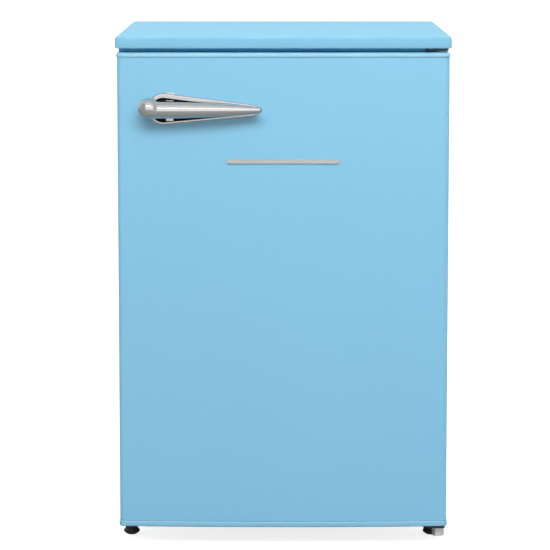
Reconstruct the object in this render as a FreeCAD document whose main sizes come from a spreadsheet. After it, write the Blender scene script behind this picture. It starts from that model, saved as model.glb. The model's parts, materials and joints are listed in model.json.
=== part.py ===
import FreeCAD, Part
import math
import os

import Sketcher

# A table-top refrigerator: one door, an ice box inside, and a worktop over the cabinet.
# Millimetres. X to the right as seen from the front, Y to the back, Z up. The origin is on the floor,
# at the middle of the overall width and depth. The door opens towards -Y about its right-hand edge.

os.makedirs("parts", exist_ok=True)
doc = FreeCAD.newDocument("TableTopRefrigerator")
sheet = doc.addObject("Spreadsheet::Sheet", "dims")

DIMENSIONS = {
    # overall
    "TotalHigh": 840, "WorktopWide": 545, "WorktopThick": 19, "WorktopFront": 270, "WorktopBack": 300,
    "WorktopNose": 4.5, "WorktopCorner": 9,
    # cabinet shell; a fixed play parts the pieces that lie against each other inside it
    "CabinetWide": 540, "CabinetLow": 34.5, "CabinetFront": 199.5, "CabinetBack": 290, "SheetThick": 1,
    "FlangeWide": 24, "RearFlange": 15, "TopGap": 4.6, "TopReturn": 17.6, "Play": 0.1,
    "BackPanelLow": 268, "BackPanelWide": 532,
    "CrossbarHigh": 25.5, "CrossbarDeep": 49.5, "CrossbarThick": 2,
    # compressor bay at the bottom of the back
    "BayFront": 129, "BayHigh": 266, "CarrierFront": 140, "CarrierThick": 2, "CarrierLip": 25.5,
    # food space
    "LinerWide": 464, "LinerLow": 96, "LinerHigh": 795, "LinerBack": 250, "LinerThick": 1.5,
    "HumpFront": 98, "HumpHigh": 296, "RibDeep": 12, "RibThick": 6, "RibFront": 104, "RibBack": 236,
    "CoverLevel": 304, "LowerShelfLevel": 430, "UpperShelfLevel": 560,
    "GlassThick": 4, "GlassWide": 444, "GlassFront": 110, "GlassBack": 245, "TrimDeep": 12, "TrimHigh": 10,
    # ice box
    "IceWide": 428, "IceLow": 668, "IceHigh": 766, "IceFront": 121, "IceBack": 150, "FrameWide": 444,
    "FrameDeep": 11.7, "FrameLow": 660, "FrameOpenWide": 380, "FrameOpenLow": 672, "FrameOpenHigh": 754,
    "FlapWide": 390, "FlapLow": 666, "FlapAxisHigh": 760, "FlapAxisFront": 136, "FlapThick": 6,
    "FlapPinRadius": 2, "RunningPlay": 0.05,
    # door
    "DoorWide": 539, "DoorLow": 32.5, "DoorHigh": 814.4, "DoorCorner": 264.5, "DoorEdge": 7,
    "DoorCrown": 4057, "DoorBack": 211.5, "BottomCap": 10, "TopCap": 8.4, "CapProud": 1.2, "CapPlug": 8,
    "DoorFlangeWide": 504, "DoorFlangeLow": 50, "DoorFlangeHigh": 805,
    "RimWide": 430, "RimLow": 106, "RimHigh": 784, "RimBack": 170, "RimThick": 13,
    "PanFront": 238, "DoorLinerThick": 1.5, "GasketWide": 18, "GasketGroove": 4,
    # door hinge
    "HingeRight": 257, "HingeFront": 240, "PinRadius": 3, "PinLong": 17, "BushRadius": 6,
    "BushFlange": 8, "PlateThick": 3, "PlateWide": 36.5, "UpperPlateLeft": 232, "UpperPlateBack": 150,
    "LowerPlateBack": 155,
    # handle and badge
    "LeverLong": 200.6, "LeverRadius": 16.6, "LeverTip": 5.3, "LeverBulge": 2600, "LeverLeft": 234.2,
    "NeckRadius": 14, "NeckLong": 38,
    "LeverFront": 300.45, "LeverHigh": 726.2, "LeverSlope": 0.74,
    "BaseLeft": 194, "BaseLeftHigh": 723.6, "BaseLeftRadius": 25.6, "BaseRight": 50,
    "BaseRightHigh": 721, "BaseRightRadius": 9.7, "BaseFront": 282, "BaseRim": 5.5, "BaseRecess": 5,
    "BaseRound": 2.2, "RecessDrop": 1.5, "YokeHigh": 33, "StemRadius": 4, "StemLeft": 80,
    "BadgeWide": 183, "BadgeHigh": 7, "BadgeLevel": 638.5, "BadgeFront": 275.6,
    # door bins
    "BinWide": 394, "BinBack": 140, "BinWall": 2.5, "BinCorner": 14, "LowerBinLow": 128,
    "LowerBinHigh": 250, "MiddleBinLow": 345, "MiddleBinHigh": 425, "UpperBinLow": 545,
    "UpperBinHigh": 625,
    # crisper drawer
    "DrawerWide": 400, "DrawerFront": 105, "DrawerBack": 88, "DrawerLow": 102, "DrawerHigh": 285,
    # feet
    "FootHigh": 9, "StudRadius": 4, "StudTop": 50, "LeftFootX": 254.9, "LeftFootY": 174,
    "LeftFootRadius": 13.3, "RightFootX": 249.5, "RightFootY": 174, "RightFootRadius": 14.2,
    "RearFootX": 235, "RearFootY": 262, "RearFootRadius": 13,
    # cooling circuit
    "CompressorX": 70, "CompressorY": 205, "CompressorRadius": 66, "CompressorLow": 51,
    "CompressorTop": 190, "LegX": 85, "LegY": 52, "BoltRadius": 3,
    "CondenserPlane": 313.1, "CondenserTop": 780, "CondenserPitch": 40, "CondenserTube": 2.4,
    "CondenserRight": 215, "CondenserLeft": 195, "RiserX": 232, "WireRadius": 0.75, "WirePitch": 20.5,
}


class Size:
    """A length that carries its number and the spreadsheet expression that gives it."""

    def __init__(self, number, text):
        self.number = float(number)
        self.text = text

    def __add__(self, other):
        other = size(other)
        return Size(self.number + other.number, "(%s + %s)" % (self.text, other.text))

    def __sub__(self, other):
        other = size(other)
        return Size(self.number - other.number, "(%s - %s)" % (self.text, other.text))

    def __mul__(self, factor):
        return Size(self.number * factor, "(%s * %s)" % (self.text, factor))

    def __truediv__(self, factor):
        return Size(self.number / factor, "(%s / %s)" % (self.text, factor))

    def __neg__(self):
        return Size(-self.number, "(0 - %s)" % self.text)

    def __radd__(self, other):
        return size(other) + self

    def __rsub__(self, other):
        return size(other) - self


def size(value):
    """A plain number as a Size, and a Size as it is."""
    return value if isinstance(value, Size) else Size(value, repr(float(value)))


class Dims:
    """The spreadsheet's cells, each as a Size."""


for row, (alias, value) in enumerate(DIMENSIONS.items(), start=1):
    sheet.set("A%d" % row, alias)
    sheet.set("B%d" % row, str(value))
    sheet.setAlias("B%d" % row, alias)
    setattr(Dims, alias, Size(value, "dims." + alias))
doc.recompute()

D = Dims
Vector = FreeCAD.Vector
subparts = []

# ---------------------------------------------------------------- building blocks


def bind(thing, prop, value):
    """Ties one property to the spreadsheet."""
    thing.setExpression(prop, size(value).text)


def place(thing, x=0, y=0, z=0, rotation=None):
    """Puts a piece at a place tied to the spreadsheet."""
    here = [size(v) for v in (x, y, z)]
    turn = rotation or FreeCAD.Rotation()
    thing.Placement = FreeCAD.Placement(Vector(*[v.number for v in here]), turn)
    for axis, v in zip("xyz", here):
        bind(thing, "Placement.Base." + axis, v)
    return thing


def subpart(thing, label):
    """Names a finished piece and lists it for export."""
    thing.Label = label
    subparts.append(thing)
    return thing


def new_body(label):
    return subpart(doc.addObject("PartDesign::Body", label), label)


def new_sketch(body, plane, level):
    """A sketch on one of the body's own origin planes, moved along its normal by level."""
    sketch = body.newObject("Sketcher::SketchObject", "Outline")
    for origin_plane in body.Origin.OriginFeatures:
        if origin_plane.Role == plane + "_Plane":
            sketch.AttachmentSupport = [(origin_plane, "")]
    sketch.MapMode = "FlatFace"
    bind(sketch, "AttachmentOffset.Base.z", level)
    return sketch


def anchor(sketch, constraints, bindings, geometry, end, u, v):
    """Adds the two distances from the origin that hold one point of the sketch."""
    for kind, value in (("DistanceX", u), ("DistanceY", v)):
        bindings.append((len(constraints), value))
        constraints.append(Sketcher.Constraint(kind, -1, 1, geometry, end, value.number))


def arc_through(start, end, radius):
    """The arc from start to end that bulges to the right of the way between them."""
    chord = end - start
    half = chord.Length / 2
    rise = radius - math.sqrt(max(radius * radius - half * half, 0))
    outward = Vector(chord.y, -chord.x, 0).normalize()
    return Part.Arc(start, (start + end) * 0.5 + outward * rise, end)


def add_loop(sketch, points, arcs, first, constraints, bindings):
    """One closed loop, drawn counter-clockwise. arcs gives the radius of the edges that are round."""
    count = len(points)
    points = [(size(u), size(v)) for u, v in points]
    corners = [Vector(u.number, v.number, 0) for u, v in points]
    edges = []
    for i in range(count):
        start, end = corners[i], corners[(i + 1) % count]
        if i in arcs:
            edges.append(arc_through(start, end, arcs[i].number))
        else:
            edges.append(Part.LineSegment(start, end))
    sketch.addGeometry(edges, False)
    for i in range(count):
        following = first + (i + 1) % count
        constraints.append(Sketcher.Constraint("Coincident", first + i, 2, following, 1))
    for i, (u, v) in enumerate(points):
        anchor(sketch, constraints, bindings, first + i, 1, u, v)
    for i, radius in arcs.items():
        bindings.append((len(constraints), radius))
        constraints.append(Sketcher.Constraint("Radius", first + i, radius.number))
    return first + count


def outline(body, plane, level, *loops):
    """A sketch of closed loops. Each loop is its points, or its points and a table of arc radii."""
    sketch = new_sketch(body, plane, level)
    constraints, bindings, first = [], [], 0
    for loop in loops:
        points, arcs = loop if isinstance(loop, tuple) else (loop, {})
        arcs = {i: size(radius) for i, radius in arcs.items()}
        first = add_loop(sketch, points, arcs, first, constraints, bindings)
    sketch.addConstraint(constraints)
    for index, value in bindings:
        sketch.setExpression("Constraints[%d]" % index, value.text)
    return sketch


def circles(body, plane, level, centres, radius):
    """A sketch of circles of one radius."""
    sketch = new_sketch(body, plane, level)
    constraints, bindings = [], []
    for i, (u, v) in enumerate(centres):
        u, v = size(u), size(v)
        centre = Vector(u.number, v.number, 0)
        sketch.addGeometry(Part.Circle(centre, Vector(0, 0, 1), size(radius).number), False)
        anchor(sketch, constraints, bindings, i, 3, u, v)
        bindings.append((len(constraints), size(radius)))
        constraints.append(Sketcher.Constraint("Radius", i, size(radius).number))
    sketch.addConstraint(constraints)
    for index, value in bindings:
        sketch.setExpression("Constraints[%d]" % index, value.text)
    return sketch


def extrude(body, sketch, length, cut):
    """Pads the sketch along its normal, or pockets it the same way."""
    feature = body.newObject("PartDesign::Pocket" if cut else "PartDesign::Pad", "Extrusion")
    feature.Profile = sketch
    bind(feature, "Length", length)
    if cut:
        feature.Reversed = True
    sketch.Visibility = False
    return feature


def level_of(plane, span):
    """Where the sketch lies along its plane's normal. The XZ plane's normal points to -Y."""
    low, high = size(span[0]), size(span[1])
    return (-high if plane == "XZ" else low), high - low


def prism(body, plane, span, *loops, cut=False):
    """Closed loops on a plane, extruded over span along the axis square to it."""
    level, length = level_of(plane, span)
    return extrude(body, outline(body, plane, level, *loops), length, cut)


def holes(body, plane, span, centres, radius, cut=True):
    """Round holes, or round bosses with cut=False."""
    level, length = level_of(plane, span)
    return extrude(body, circles(body, plane, level, centres, radius), length, cut)


def rectangle(u, v):
    """The corners of a rectangle over two spans, counter-clockwise."""
    return [(u[0], v[0]), (u[1], v[0]), (u[1], v[1]), (u[0], v[1])]


def block(body, x, y, z, cut=False):
    """A box over three spans, added to the body or cut from it."""
    return prism(body, "XY", z, rectangle(x, y), cut=cut)


def across(wide):
    """A span of the given width about the middle plane."""
    return (-wide / 2, wide / 2)


def turned(body, points, arcs=None, plane="XZ", axis="V_Axis"):
    """A full turn of an outline about one axis of its sketch."""
    sketch = outline(body, plane, 0, (points, arcs or {}))
    feature = body.newObject("PartDesign::Revolution", "Turned")
    feature.Profile = sketch
    feature.ReferenceAxis = (sketch, [axis])
    feature.Angle = 360
    return feature


def round_edges(body, radius, chosen):
    """Fillets the edges of the body's last feature that chosen() accepts."""
    doc.recompute()
    base = body.Tip
    names = ["Edge%d" % (i + 1) for i, edge in enumerate(base.Shape.Edges) if chosen(edge)]
    fillet = body.newObject("PartDesign::Fillet", "Rounding")
    fillet.Base = (base, names)
    bind(fillet, "Radius", radius)
    return fillet


def upright(edge):
    """An edge along Z."""
    box = edge.BoundBox
    return box.XLength < 1e-3 and box.YLength < 1e-3 and box.ZLength > 1


def level_at_z(place_z):
    """Picks the edges that lie in one level plane."""
    number = size(place_z).number
    return lambda edge: edge.BoundBox.ZLength < 1e-3 and abs(edge.CenterOfMass.z - number) < 0.01


ALONG = {
    "+Z": FreeCAD.Rotation(),
    "+X": FreeCAD.Rotation(Vector(0, 1, 0), 90),
    "-X": FreeCAD.Rotation(Vector(0, 1, 0), -90),
    "+Y": FreeCAD.Rotation(Vector(1, 0, 0), -90),
    "-Y": FreeCAD.Rotation(Vector(1, 0, 0), 90),
    "-Z": FreeCAD.Rotation(Vector(1, 0, 0), 180),
}


def cylinder(radius, length, x, y, z, along="+Z"):
    """A Part cylinder that starts at a place and runs one way."""
    rod = doc.addObject("Part::Cylinder", "Rod")
    bind(rod, "Radius", radius)
    bind(rod, "Height", length)
    return place(rod, x, y, z, ALONG[along])


def part_box(x, y, z):
    """A Part box over three spans."""
    box = doc.addObject("Part::Box", "Box")
    spans = [(size(low), size(high)) for low, high in (x, y, z)]
    for prop, (low, high) in zip(("Length", "Width", "Height"), spans):
        bind(box, prop, high - low)
    return place(box, *[low for low, _ in spans])


def join(pieces):
    """Fuses pieces, or groups them where they are apart."""
    fused = doc.addObject("Part::MultiFuse", "Joined")
    fused.Shapes = pieces
    return fused


def cut_from(piece, tool):
    """A piece with another one's shape taken away."""
    result = doc.addObject("Part::Cut", "CutPiece")
    result.Base = piece
    result.Tool = tool
    return result


def screw(shank, long, head, head_high, x, y, z, along):
    """A screw whose head's underside is at a place and whose head points one way."""
    opposite = {"+": "-", "-": "+"}[along[0]] + along[1]
    return [cylinder(head, head_high, x, y, z, along), cylinder(shank, long, x, y, z, opposite)]


def plain(value):
    return size(value).number


def rounded_path(points, bend):
    """A wire of straight runs joined by tangent arcs of one radius."""
    edges = []
    here = points[0]
    for i in range(1, len(points) - 1):
        corner = points[i]
        into = (corner - points[i - 1]).normalize()
        out = (points[i + 1] - corner).normalize()
        turn = into.getAngle(out)
        back = bend * math.tan(turn / 2)
        start, end = corner - into * back, corner + out * back
        inward = (out - into).normalize()
        middle = corner + inward * (bend / math.cos(turn / 2) - bend)
        if (start - here).Length > 1e-6:
            edges.append(Part.LineSegment(here, start).toShape())
        edges.append(Part.Arc(start, middle, end).toShape())
        here = end
    edges.append(Part.LineSegment(here, points[-1]).toShape())
    return Part.Wire(edges)


def tube_shape(points, radius, bend):
    """A solid round tube along a rounded path."""
    path = rounded_path(points, bend)
    direction = points[1] - points[0]
    section = Part.Wire([Part.Circle(points[0], direction, radius).toShape()])
    return path.makePipeShell([section], True, False)


def drawn(label, shape):
    """A piece whose shape is worked out with Part's own functions from the sheet's sizes."""
    feature = doc.addObject("Part::Feature", label)
    feature.Shape = shape
    feature.Placement = FreeCAD.Placement()
    return subpart(feature, label)


# ---------------------------------------------------------------- shared levels and planes

HALF = D.CabinetWide / 2
INNER = HALF - D.SheetThick
WORKTOP_LOW = D.TotalHigh - D.WorktopThick
TOP_PANEL = WORKTOP_LOW - D.TopGap
TOP_SHEET = TOP_PANEL - D.SheetThick
FRONT = -D.CabinetFront
BEHIND_FRONT = FRONT + D.SheetThick
CROSSBAR_TOP = D.CabinetLow + D.CrossbarHigh
BACK_OUT = D.CabinetBack + D.SheetThick
LINER_IN = D.LinerWide / 2 - D.LinerThick
GLAND_X, GLAND_Z, GLAND_RADIUS, CORD_RADIUS = 180, 50, 5.5, 3.7
BOLT_HOLE = D.BoltRadius + 0.3

# ---------------------------------------------------------------- cabinet


def side_panel(label, side):
    """A folded sheet with a front flange for the gasket and a rear flange for the back panel."""
    body = new_body(label)
    outer, inner = HALF * side, INNER * side
    flange, rear = (HALF - D.FlangeWide) * side, (HALF - D.RearFlange) * side
    profile = [
        (outer, FRONT), (flange, FRONT), (flange, BEHIND_FRONT), (inner, BEHIND_FRONT),
        (inner, D.CabinetBack), (rear, D.CabinetBack), (rear, BACK_OUT), (outer, BACK_OUT),
    ]
    if side > 0:
        profile.reverse()
    prism(body, "XY", (D.CabinetLow, WORKTOP_LOW), profile)
    inside = (flange, inner) if side < 0 else (inner, flange)
    inside = (inside[1], inside[0])
    block(body, inside, (FRONT - 1, BEHIND_FRONT), (TOP_SHEET, WORKTOP_LOW + 1), cut=True)
    block(body, inside, (FRONT - 1, BEHIND_FRONT), (D.CabinetLow - 1, CROSSBAR_TOP), cut=True)


def top_panel():
    body = new_body("top_panel")
    block(body, (-INNER, INNER), (FRONT, D.CabinetBack), (TOP_SHEET, TOP_PANEL))
    reach = HALF - D.FlangeWide
    block(body, (-reach, reach), (FRONT, BEHIND_FRONT), (TOP_SHEET - D.TopReturn + 1, TOP_SHEET))


def back_panel():
    body = new_body("back_panel")
    wide = across(D.BackPanelWide)
    block(body, wide, (BACK_OUT, BACK_OUT + D.SheetThick), (D.BackPanelLow, TOP_PANEL))
    # pressed stiffening beads
    bead_apart, bead_half, margin = 120, 6, 80
    bead_y = (BACK_OUT + D.SheetThick, BACK_OUT + D.SheetThick * 2)
    for x in (-bead_apart, 0, bead_apart):
        block(body, (x - bead_half, x + bead_half), bead_y, (D.BackPanelLow + margin, TOP_PANEL - margin))


def front_crossbar():
    """An open channel under the door opening, with ears that the front feet screw into."""
    body = new_body("front_crossbar")
    reach = HALF - D.FlangeWide
    back = FRONT + D.CrossbarDeep
    floor = D.CabinetLow + D.CrossbarThick
    block(body, (-reach, reach), (FRONT, back), (D.CabinetLow, CROSSBAR_TOP))
    ear_y = (FRONT + D.CrossbarThick, back - D.CrossbarThick)
    block(body, (-INNER + D.Play, INNER - D.Play), ear_y, (D.CabinetLow, floor))
    block(body, (-reach - 1, reach + 1), ear_y, (floor, CROSSBAR_TOP + 1), cut=True)
    feet = [(-D.LeftFootX, -D.LeftFootY), (D.RightFootX, -D.RightFootY)]
    holes(body, "XY", (D.CabinetLow - 1, floor + 1), feet, D.StudRadius + D.RunningPlay)


def base_plate():
    """One bent sheet: the floor of the cabinet, the riser and the roof of the compressor bay."""
    body = new_body("base_plate")
    thick = D.SheetThick
    low, front, roof = D.CabinetLow, D.BayFront, D.BayHigh
    start = FRONT + D.CrossbarDeep
    back = D.CabinetBack - D.Play
    profile = [
        (start, low), (front + thick, low), (front + thick, roof - thick), (back, roof - thick),
        (back, roof), (front, roof), (front, low + thick), (start, low + thick),
    ]
    wide = INNER - D.Play
    prism(body, "YZ", (-wide, wide), profile)


def compressor_carrier():
    """The steel tray across the bottom of the back that carries the compressor."""
    body = new_body("compressor_carrier")
    wide = INNER - D.Play
    top = D.CabinetLow + D.CarrierThick
    back = D.CabinetBack - D.SheetThick
    block(body, (-wide, wide), (D.CarrierFront, back), (D.CabinetLow, top))
    block(body, (-wide, wide), (back - D.CarrierThick, back), (top, top + D.CarrierLip))
    bolts = [(-D.CompressorX + a * D.LegX.number, D.CompressorY + b * D.LegY.number)
             for a in (-1, 1) for b in (-1, 1)]
    holes(body, "XY", (D.CabinetLow - 1, top + 1), bolts, BOLT_HOLE)
    holes(body, "XZ", (back - D.CarrierThick - 1, back + 1), [(GLAND_X, GLAND_Z)], GLAND_RADIUS)


def insulation_foam():
    """Fills the cabinet between its outer sheets and the inner liner."""
    body = new_body("insulation_foam")
    low, play = D.CabinetLow + D.SheetThick, D.Play
    front, back = BEHIND_FRONT + play, D.CabinetBack - play
    step = FRONT + D.CrossbarDeep + play
    profile = [
        (front, CROSSBAR_TOP + play), (step, CROSSBAR_TOP + play), (step, low),
        (D.BayFront, low), (D.BayFront, D.BayHigh), (back, D.BayHigh),
        (back, TOP_SHEET), (front, TOP_SHEET),
    ]
    wide = INNER - play
    prism(body, "YZ", (-wide, wide), profile)
    prism(body, "YZ", across(D.LinerWide), liner_profile(0), cut=True)


def liner_profile(inset):
    """The side view of the food space, stepped at the back over the compressor bay."""
    front = FRONT - 1 if plain(inset) else BEHIND_FRONT
    low, high = D.LinerLow + inset, D.LinerHigh - inset
    return [
        (front, low), (D.HumpFront - inset, low), (D.HumpFront - inset, D.HumpHigh + inset),
        (D.LinerBack - inset, D.HumpHigh + inset), (D.LinerBack - inset, high), (front, high),
    ]


def inner_liner():
    """The white food space: a stepped shell with a front flange and ribs for the shelves."""
    body = new_body("inner_liner")
    prism(body, "YZ", across(D.LinerWide), liner_profile(0))
    reach = HALF - D.FlangeWide - D.Play
    flange_z = (CROSSBAR_TOP + D.Play, TOP_SHEET - D.TopReturn)
    prism(body, "XZ", (FRONT, BEHIND_FRONT), rectangle((-reach, reach), flange_z))
    prism(body, "YZ", (-LINER_IN, LINER_IN), liner_profile(D.LinerThick), cut=True)
    for level in (D.CoverLevel, D.LowerShelfLevel, D.UpperShelfLevel):
        for side in (-1, 1):
            span = (LINER_IN - D.RibDeep, LINER_IN + D.LinerThick / 2)
            span = span if side > 0 else (-span[1], -span[0])
            block(body, span, (-D.RibFront, D.RibBack), (level - D.RibThick, level))


def worktop():
    """The flat top with a rounded nose and rounded corners."""
    body = new_body("worktop")
    block(body, across(D.WorktopWide), (-D.WorktopFront, D.WorktopBack), (WORKTOP_LOW, D.TotalHigh))
    round_edges(body, D.WorktopCorner, upright)
    round_edges(body, D.WorktopNose, level_at_z(D.TotalHigh))
    round_edges(body, D.SheetThick, level_at_z(WORKTOP_LOW))


def rear_feet():
    """Two fixed plastic feet, each a pad with a narrower neck."""
    feet, neck = [], D.RearFootRadius - 4
    for side in (-1, 1):
        x, y = D.RearFootX * side, D.RearFootY
        feet.append(cylinder(D.RearFootRadius, D.FootHigh, x, y, 0))
        feet.append(cylinder(neck, D.CabinetLow - D.FootHigh, x, y, D.FootHigh))
    subpart(join(feet), "rear_feet")


def rear_screws():
    """Self-tapping screws around the back panel."""
    screws, shank, long, head, head_high = [], 1.6, 10, 3.8, 2
    edge = D.BackPanelWide / 2 - 6
    end, apart = 12, 178
    levels = [D.BackPanelLow + end + apart * k for k in range(3)] + [TOP_PANEL - end]
    for side in (-1, 1):
        for level in levels:
            screws += screw(shank, long, head, head_high, edge * side, BACK_OUT + D.SheetThick, level, "+Y")
    subpart(join(screws), "rear_screws")


# ---------------------------------------------------------------- door hinge

DOOR_TOP_PLATE = TOP_PANEL
LOWER_PLATE_TOP = D.DoorLow - D.PlateThick
HINGE_X, HINGE_Y = D.HingeRight, -D.HingeFront
PLATE_FRONT = HINGE_Y - 12
PIN_HEAD, PIN_HEAD_HIGH, PIN_CLEAR = D.PinRadius + 2, 1.2, 2
NUT_RADIUS, NUT_HIGH = 10, 14
PLATE_CORNER = 8
UPPER_SCREWS = ((246, -190), (246, -162), (260, -176))
LOWER_SCREWS = ((241, -168), (241, -186))
SCREW_SHANK, SCREW_HEAD, SCREW_HOLE = 2, 4, 2.3


def plate_front(edge):
    """The upright edges at the front of a hinge plate."""
    return upright(edge) and edge.CenterOfMass.y < PLATE_FRONT.number + 0.01


def upper_hinge():
    body = new_body("upper_hinge_bracket")
    level = (DOOR_TOP_PLATE, DOOR_TOP_PLATE + D.PlateThick)
    wide = (D.UpperPlateLeft, D.UpperPlateLeft + D.PlateWide)
    block(body, wide, (PLATE_FRONT, -D.UpperPlateBack), level)
    around = (level[0] - 1, level[1] + 1)
    holes(body, "XY", around, [(HINGE_X, HINGE_Y)], D.PinRadius + D.RunningPlay)
    holes(body, "XY", around, UPPER_SCREWS, SCREW_HOLE)
    round_edges(body, PLATE_CORNER, plate_front)
    pin_low = D.DoorHigh - D.PinLong + PIN_CLEAR
    pin = cylinder(D.PinRadius, level[1] - pin_low, HINGE_X, HINGE_Y, pin_low)
    head = cylinder(PIN_HEAD, PIN_HEAD_HIGH, HINGE_X, HINGE_Y, level[1])
    subpart(join([pin, head]), "upper_hinge_pin")


def lower_hinge():
    """A cranked plate under the crossbar that reaches forward under the door."""
    body = new_body("lower_hinge_bracket")
    top, thick = LOWER_PLATE_TOP, D.PlateThick
    rear_top = D.CabinetLow
    crank = FRONT + 6
    profile = [
        (PLATE_FRONT, top - thick), (crank, top - thick), (crank, rear_top - thick),
        (-D.LowerPlateBack, rear_top - thick), (-D.LowerPlateBack, rear_top),
        (crank - thick, rear_top), (crank - thick, top), (PLATE_FRONT, top),
    ]
    wide = (D.UpperPlateLeft, D.UpperPlateLeft + D.PlateWide)
    prism(body, "YZ", wide, profile)
    around = (top - thick - 1, rear_top + 1)
    holes(body, "XY", around, [(HINGE_X, HINGE_Y)], D.PinRadius + D.RunningPlay)
    holes(body, "XY", around, [(D.RightFootX, -D.RightFootY)], D.StudRadius + D.RunningPlay)
    holes(body, "XY", around, LOWER_SCREWS, SCREW_HOLE)
    round_edges(body, PLATE_CORNER, plate_front)
    pin_high = D.DoorLow + D.PinLong - PIN_CLEAR
    pin = cylinder(D.PinRadius, pin_high - top + thick, HINGE_X, HINGE_Y, top - thick)
    washer = cylinder(NUT_RADIUS + 1.5, 1.5, HINGE_X, HINGE_Y, top - thick, "-Z")
    nut = doc.addObject("Part::Prism", "Nut")
    nut.Polygon = 6
    bind(nut, "Circumradius", NUT_RADIUS)
    bind(nut, "Height", NUT_HIGH)
    place(nut, HINGE_X, HINGE_Y, top - thick, ALONG["-Z"])
    subpart(join([pin, washer, nut]), "lower_hinge_pin")


def hinge_screws():
    """Flat-headed screws above, where the worktop is close, and taller heads below."""
    screws = []
    for x, y in UPPER_SCREWS:
        screws += screw(SCREW_SHANK, 12, SCREW_HEAD, 1.4, x, y, DOOR_TOP_PLATE + D.PlateThick, "+Z")
    for x, y in LOWER_SCREWS:
        screws += screw(SCREW_SHANK, 9, SCREW_HEAD, 1.8, x, y, D.CabinetLow - D.PlateThick, "-Z")
    subpart(join(screws), "hinge_screws")


def hinge_bushes():
    """Nylon bushes pressed into the door's end caps."""
    bushes, flange_high = [], 1.2
    bore = D.PinRadius + D.RunningPlay
    low, high = D.DoorLow - D.PlateThick + D.Play, D.DoorLow + D.PinLong
    bushes.append(cylinder(D.BushRadius, high - D.DoorLow, HINGE_X, HINGE_Y, D.DoorLow))
    bushes.append(cylinder(D.BushFlange, D.DoorLow - low, HINGE_X, HINGE_Y, low))
    bottom = cut_from(join(bushes), cylinder(bore, high - low + 2, HINGE_X, HINGE_Y, low - 1))
    top_low = D.DoorHigh - D.PinLong + 1
    upper = [cylinder(D.BushRadius, D.DoorHigh - top_low, HINGE_X, HINGE_Y, top_low)]
    upper.append(cylinder(D.BushFlange, flange_high, HINGE_X, HINGE_Y, D.DoorHigh))
    top = cut_from(join(upper), cylinder(bore, D.PinLong + flange_high + 2, HINGE_X, HINGE_Y, top_low - 1))
    subpart(join([bottom, top]), "hinge_bushes")


# ---------------------------------------------------------------- door

DOOR_HALF = D.DoorWide / 2
SKIN_LOW = D.DoorLow + D.BottomCap
SKIN_HIGH = D.DoorHigh - D.TopCap
DOOR_BACK = -D.DoorBack
FLANGE_FRONT = DOOR_BACK - D.DoorLinerThick
RIM_HALF = D.RimWide / 2
PAN_HALF = RIM_HALF - D.RimThick
PAN_LOW, PAN_HIGH = D.RimLow + D.RimThick, D.RimHigh - D.RimThick


def crowned(inset, back):
    """The door seen from above: a slightly bowed front between two rounded corners."""
    side, front = DOOR_HALF - inset, D.DoorCorner - inset
    corner = D.DoorEdge
    points = [
        (-side, -(D.DoorCorner - corner)), (-(DOOR_HALF - corner), -front),
        (DOOR_HALF - corner, -front), (side, -(D.DoorCorner - corner)), (side, back), (-side, back),
    ]
    return points, {0: corner - inset, 1: D.DoorCrown - inset, 2: corner - inset}


def door_skin():
    """A sheet folded round the front and the sides, with narrow returns at the back."""
    body = new_body("door_skin")
    levels = (SKIN_LOW, SKIN_HIGH)
    over = (SKIN_LOW - 1, SKIN_HIGH + 1)
    prism(body, "XY", levels, crowned(size(0), DOOR_BACK))
    prism(body, "XY", over, crowned(D.SheetThick, DOOR_BACK - D.SheetThick), cut=True)
    opening = D.DoorFlangeWide + 2 * D.Play.number
    block(body, across(opening), (DOOR_BACK - 5, DOOR_BACK + 1), over, cut=True)


def door_cap(label, low, high, plug, rounded_level):
    """A plastic end cap with a plug that fits inside the skin and a hole for the hinge bush."""
    body = new_body(label)
    prism(body, "XY", (low, high), crowned(-D.CapProud, DOOR_BACK))
    round_edges(body, 2.5, level_at_z(rounded_level))
    prism(body, "XY", plug, crowned(D.SheetThick + D.Play, FLANGE_FRONT - D.Play))
    reach = (D.DoorLow - 1, D.DoorHigh + 1)
    holes(body, "XY", reach, [(HINGE_X, HINGE_Y)], D.BushRadius + D.RunningPlay)


def door_caps():
    low_plug = (SKIN_LOW - 1, SKIN_LOW + D.CapPlug)
    high_plug = (SKIN_HIGH - D.CapPlug, SKIN_HIGH + 1)
    door_cap("door_bottom_cap", D.DoorLow, SKIN_LOW, low_plug, D.DoorLow)
    door_cap("door_top_cap", SKIN_HIGH, D.DoorHigh, high_plug, D.DoorHigh)


def door_foam():
    """Insulation inside the skin, and inside the raised rim of the liner."""
    body = new_body("door_foam")
    levels = (SKIN_LOW + D.CapPlug, SKIN_HIGH - D.CapPlug)
    thick = D.DoorLinerThick
    prism(body, "XY", levels, crowned(D.SheetThick + D.Play, FLANGE_FRONT))
    core = RIM_HALF - thick
    core_z = (D.RimLow + thick, D.RimHigh - thick)
    prism(body, "XZ", (FLANGE_FRONT - 1, -D.RimBack - thick), rectangle((-core, core), core_z))
    pan = PAN_HALF + thick
    pan_z = (PAN_LOW - thick, PAN_HIGH + thick)
    prism(body, "XZ", (-D.PanFront, -D.RimBack + 1), rectangle((-pan, pan), pan_z), cut=True)


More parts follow.
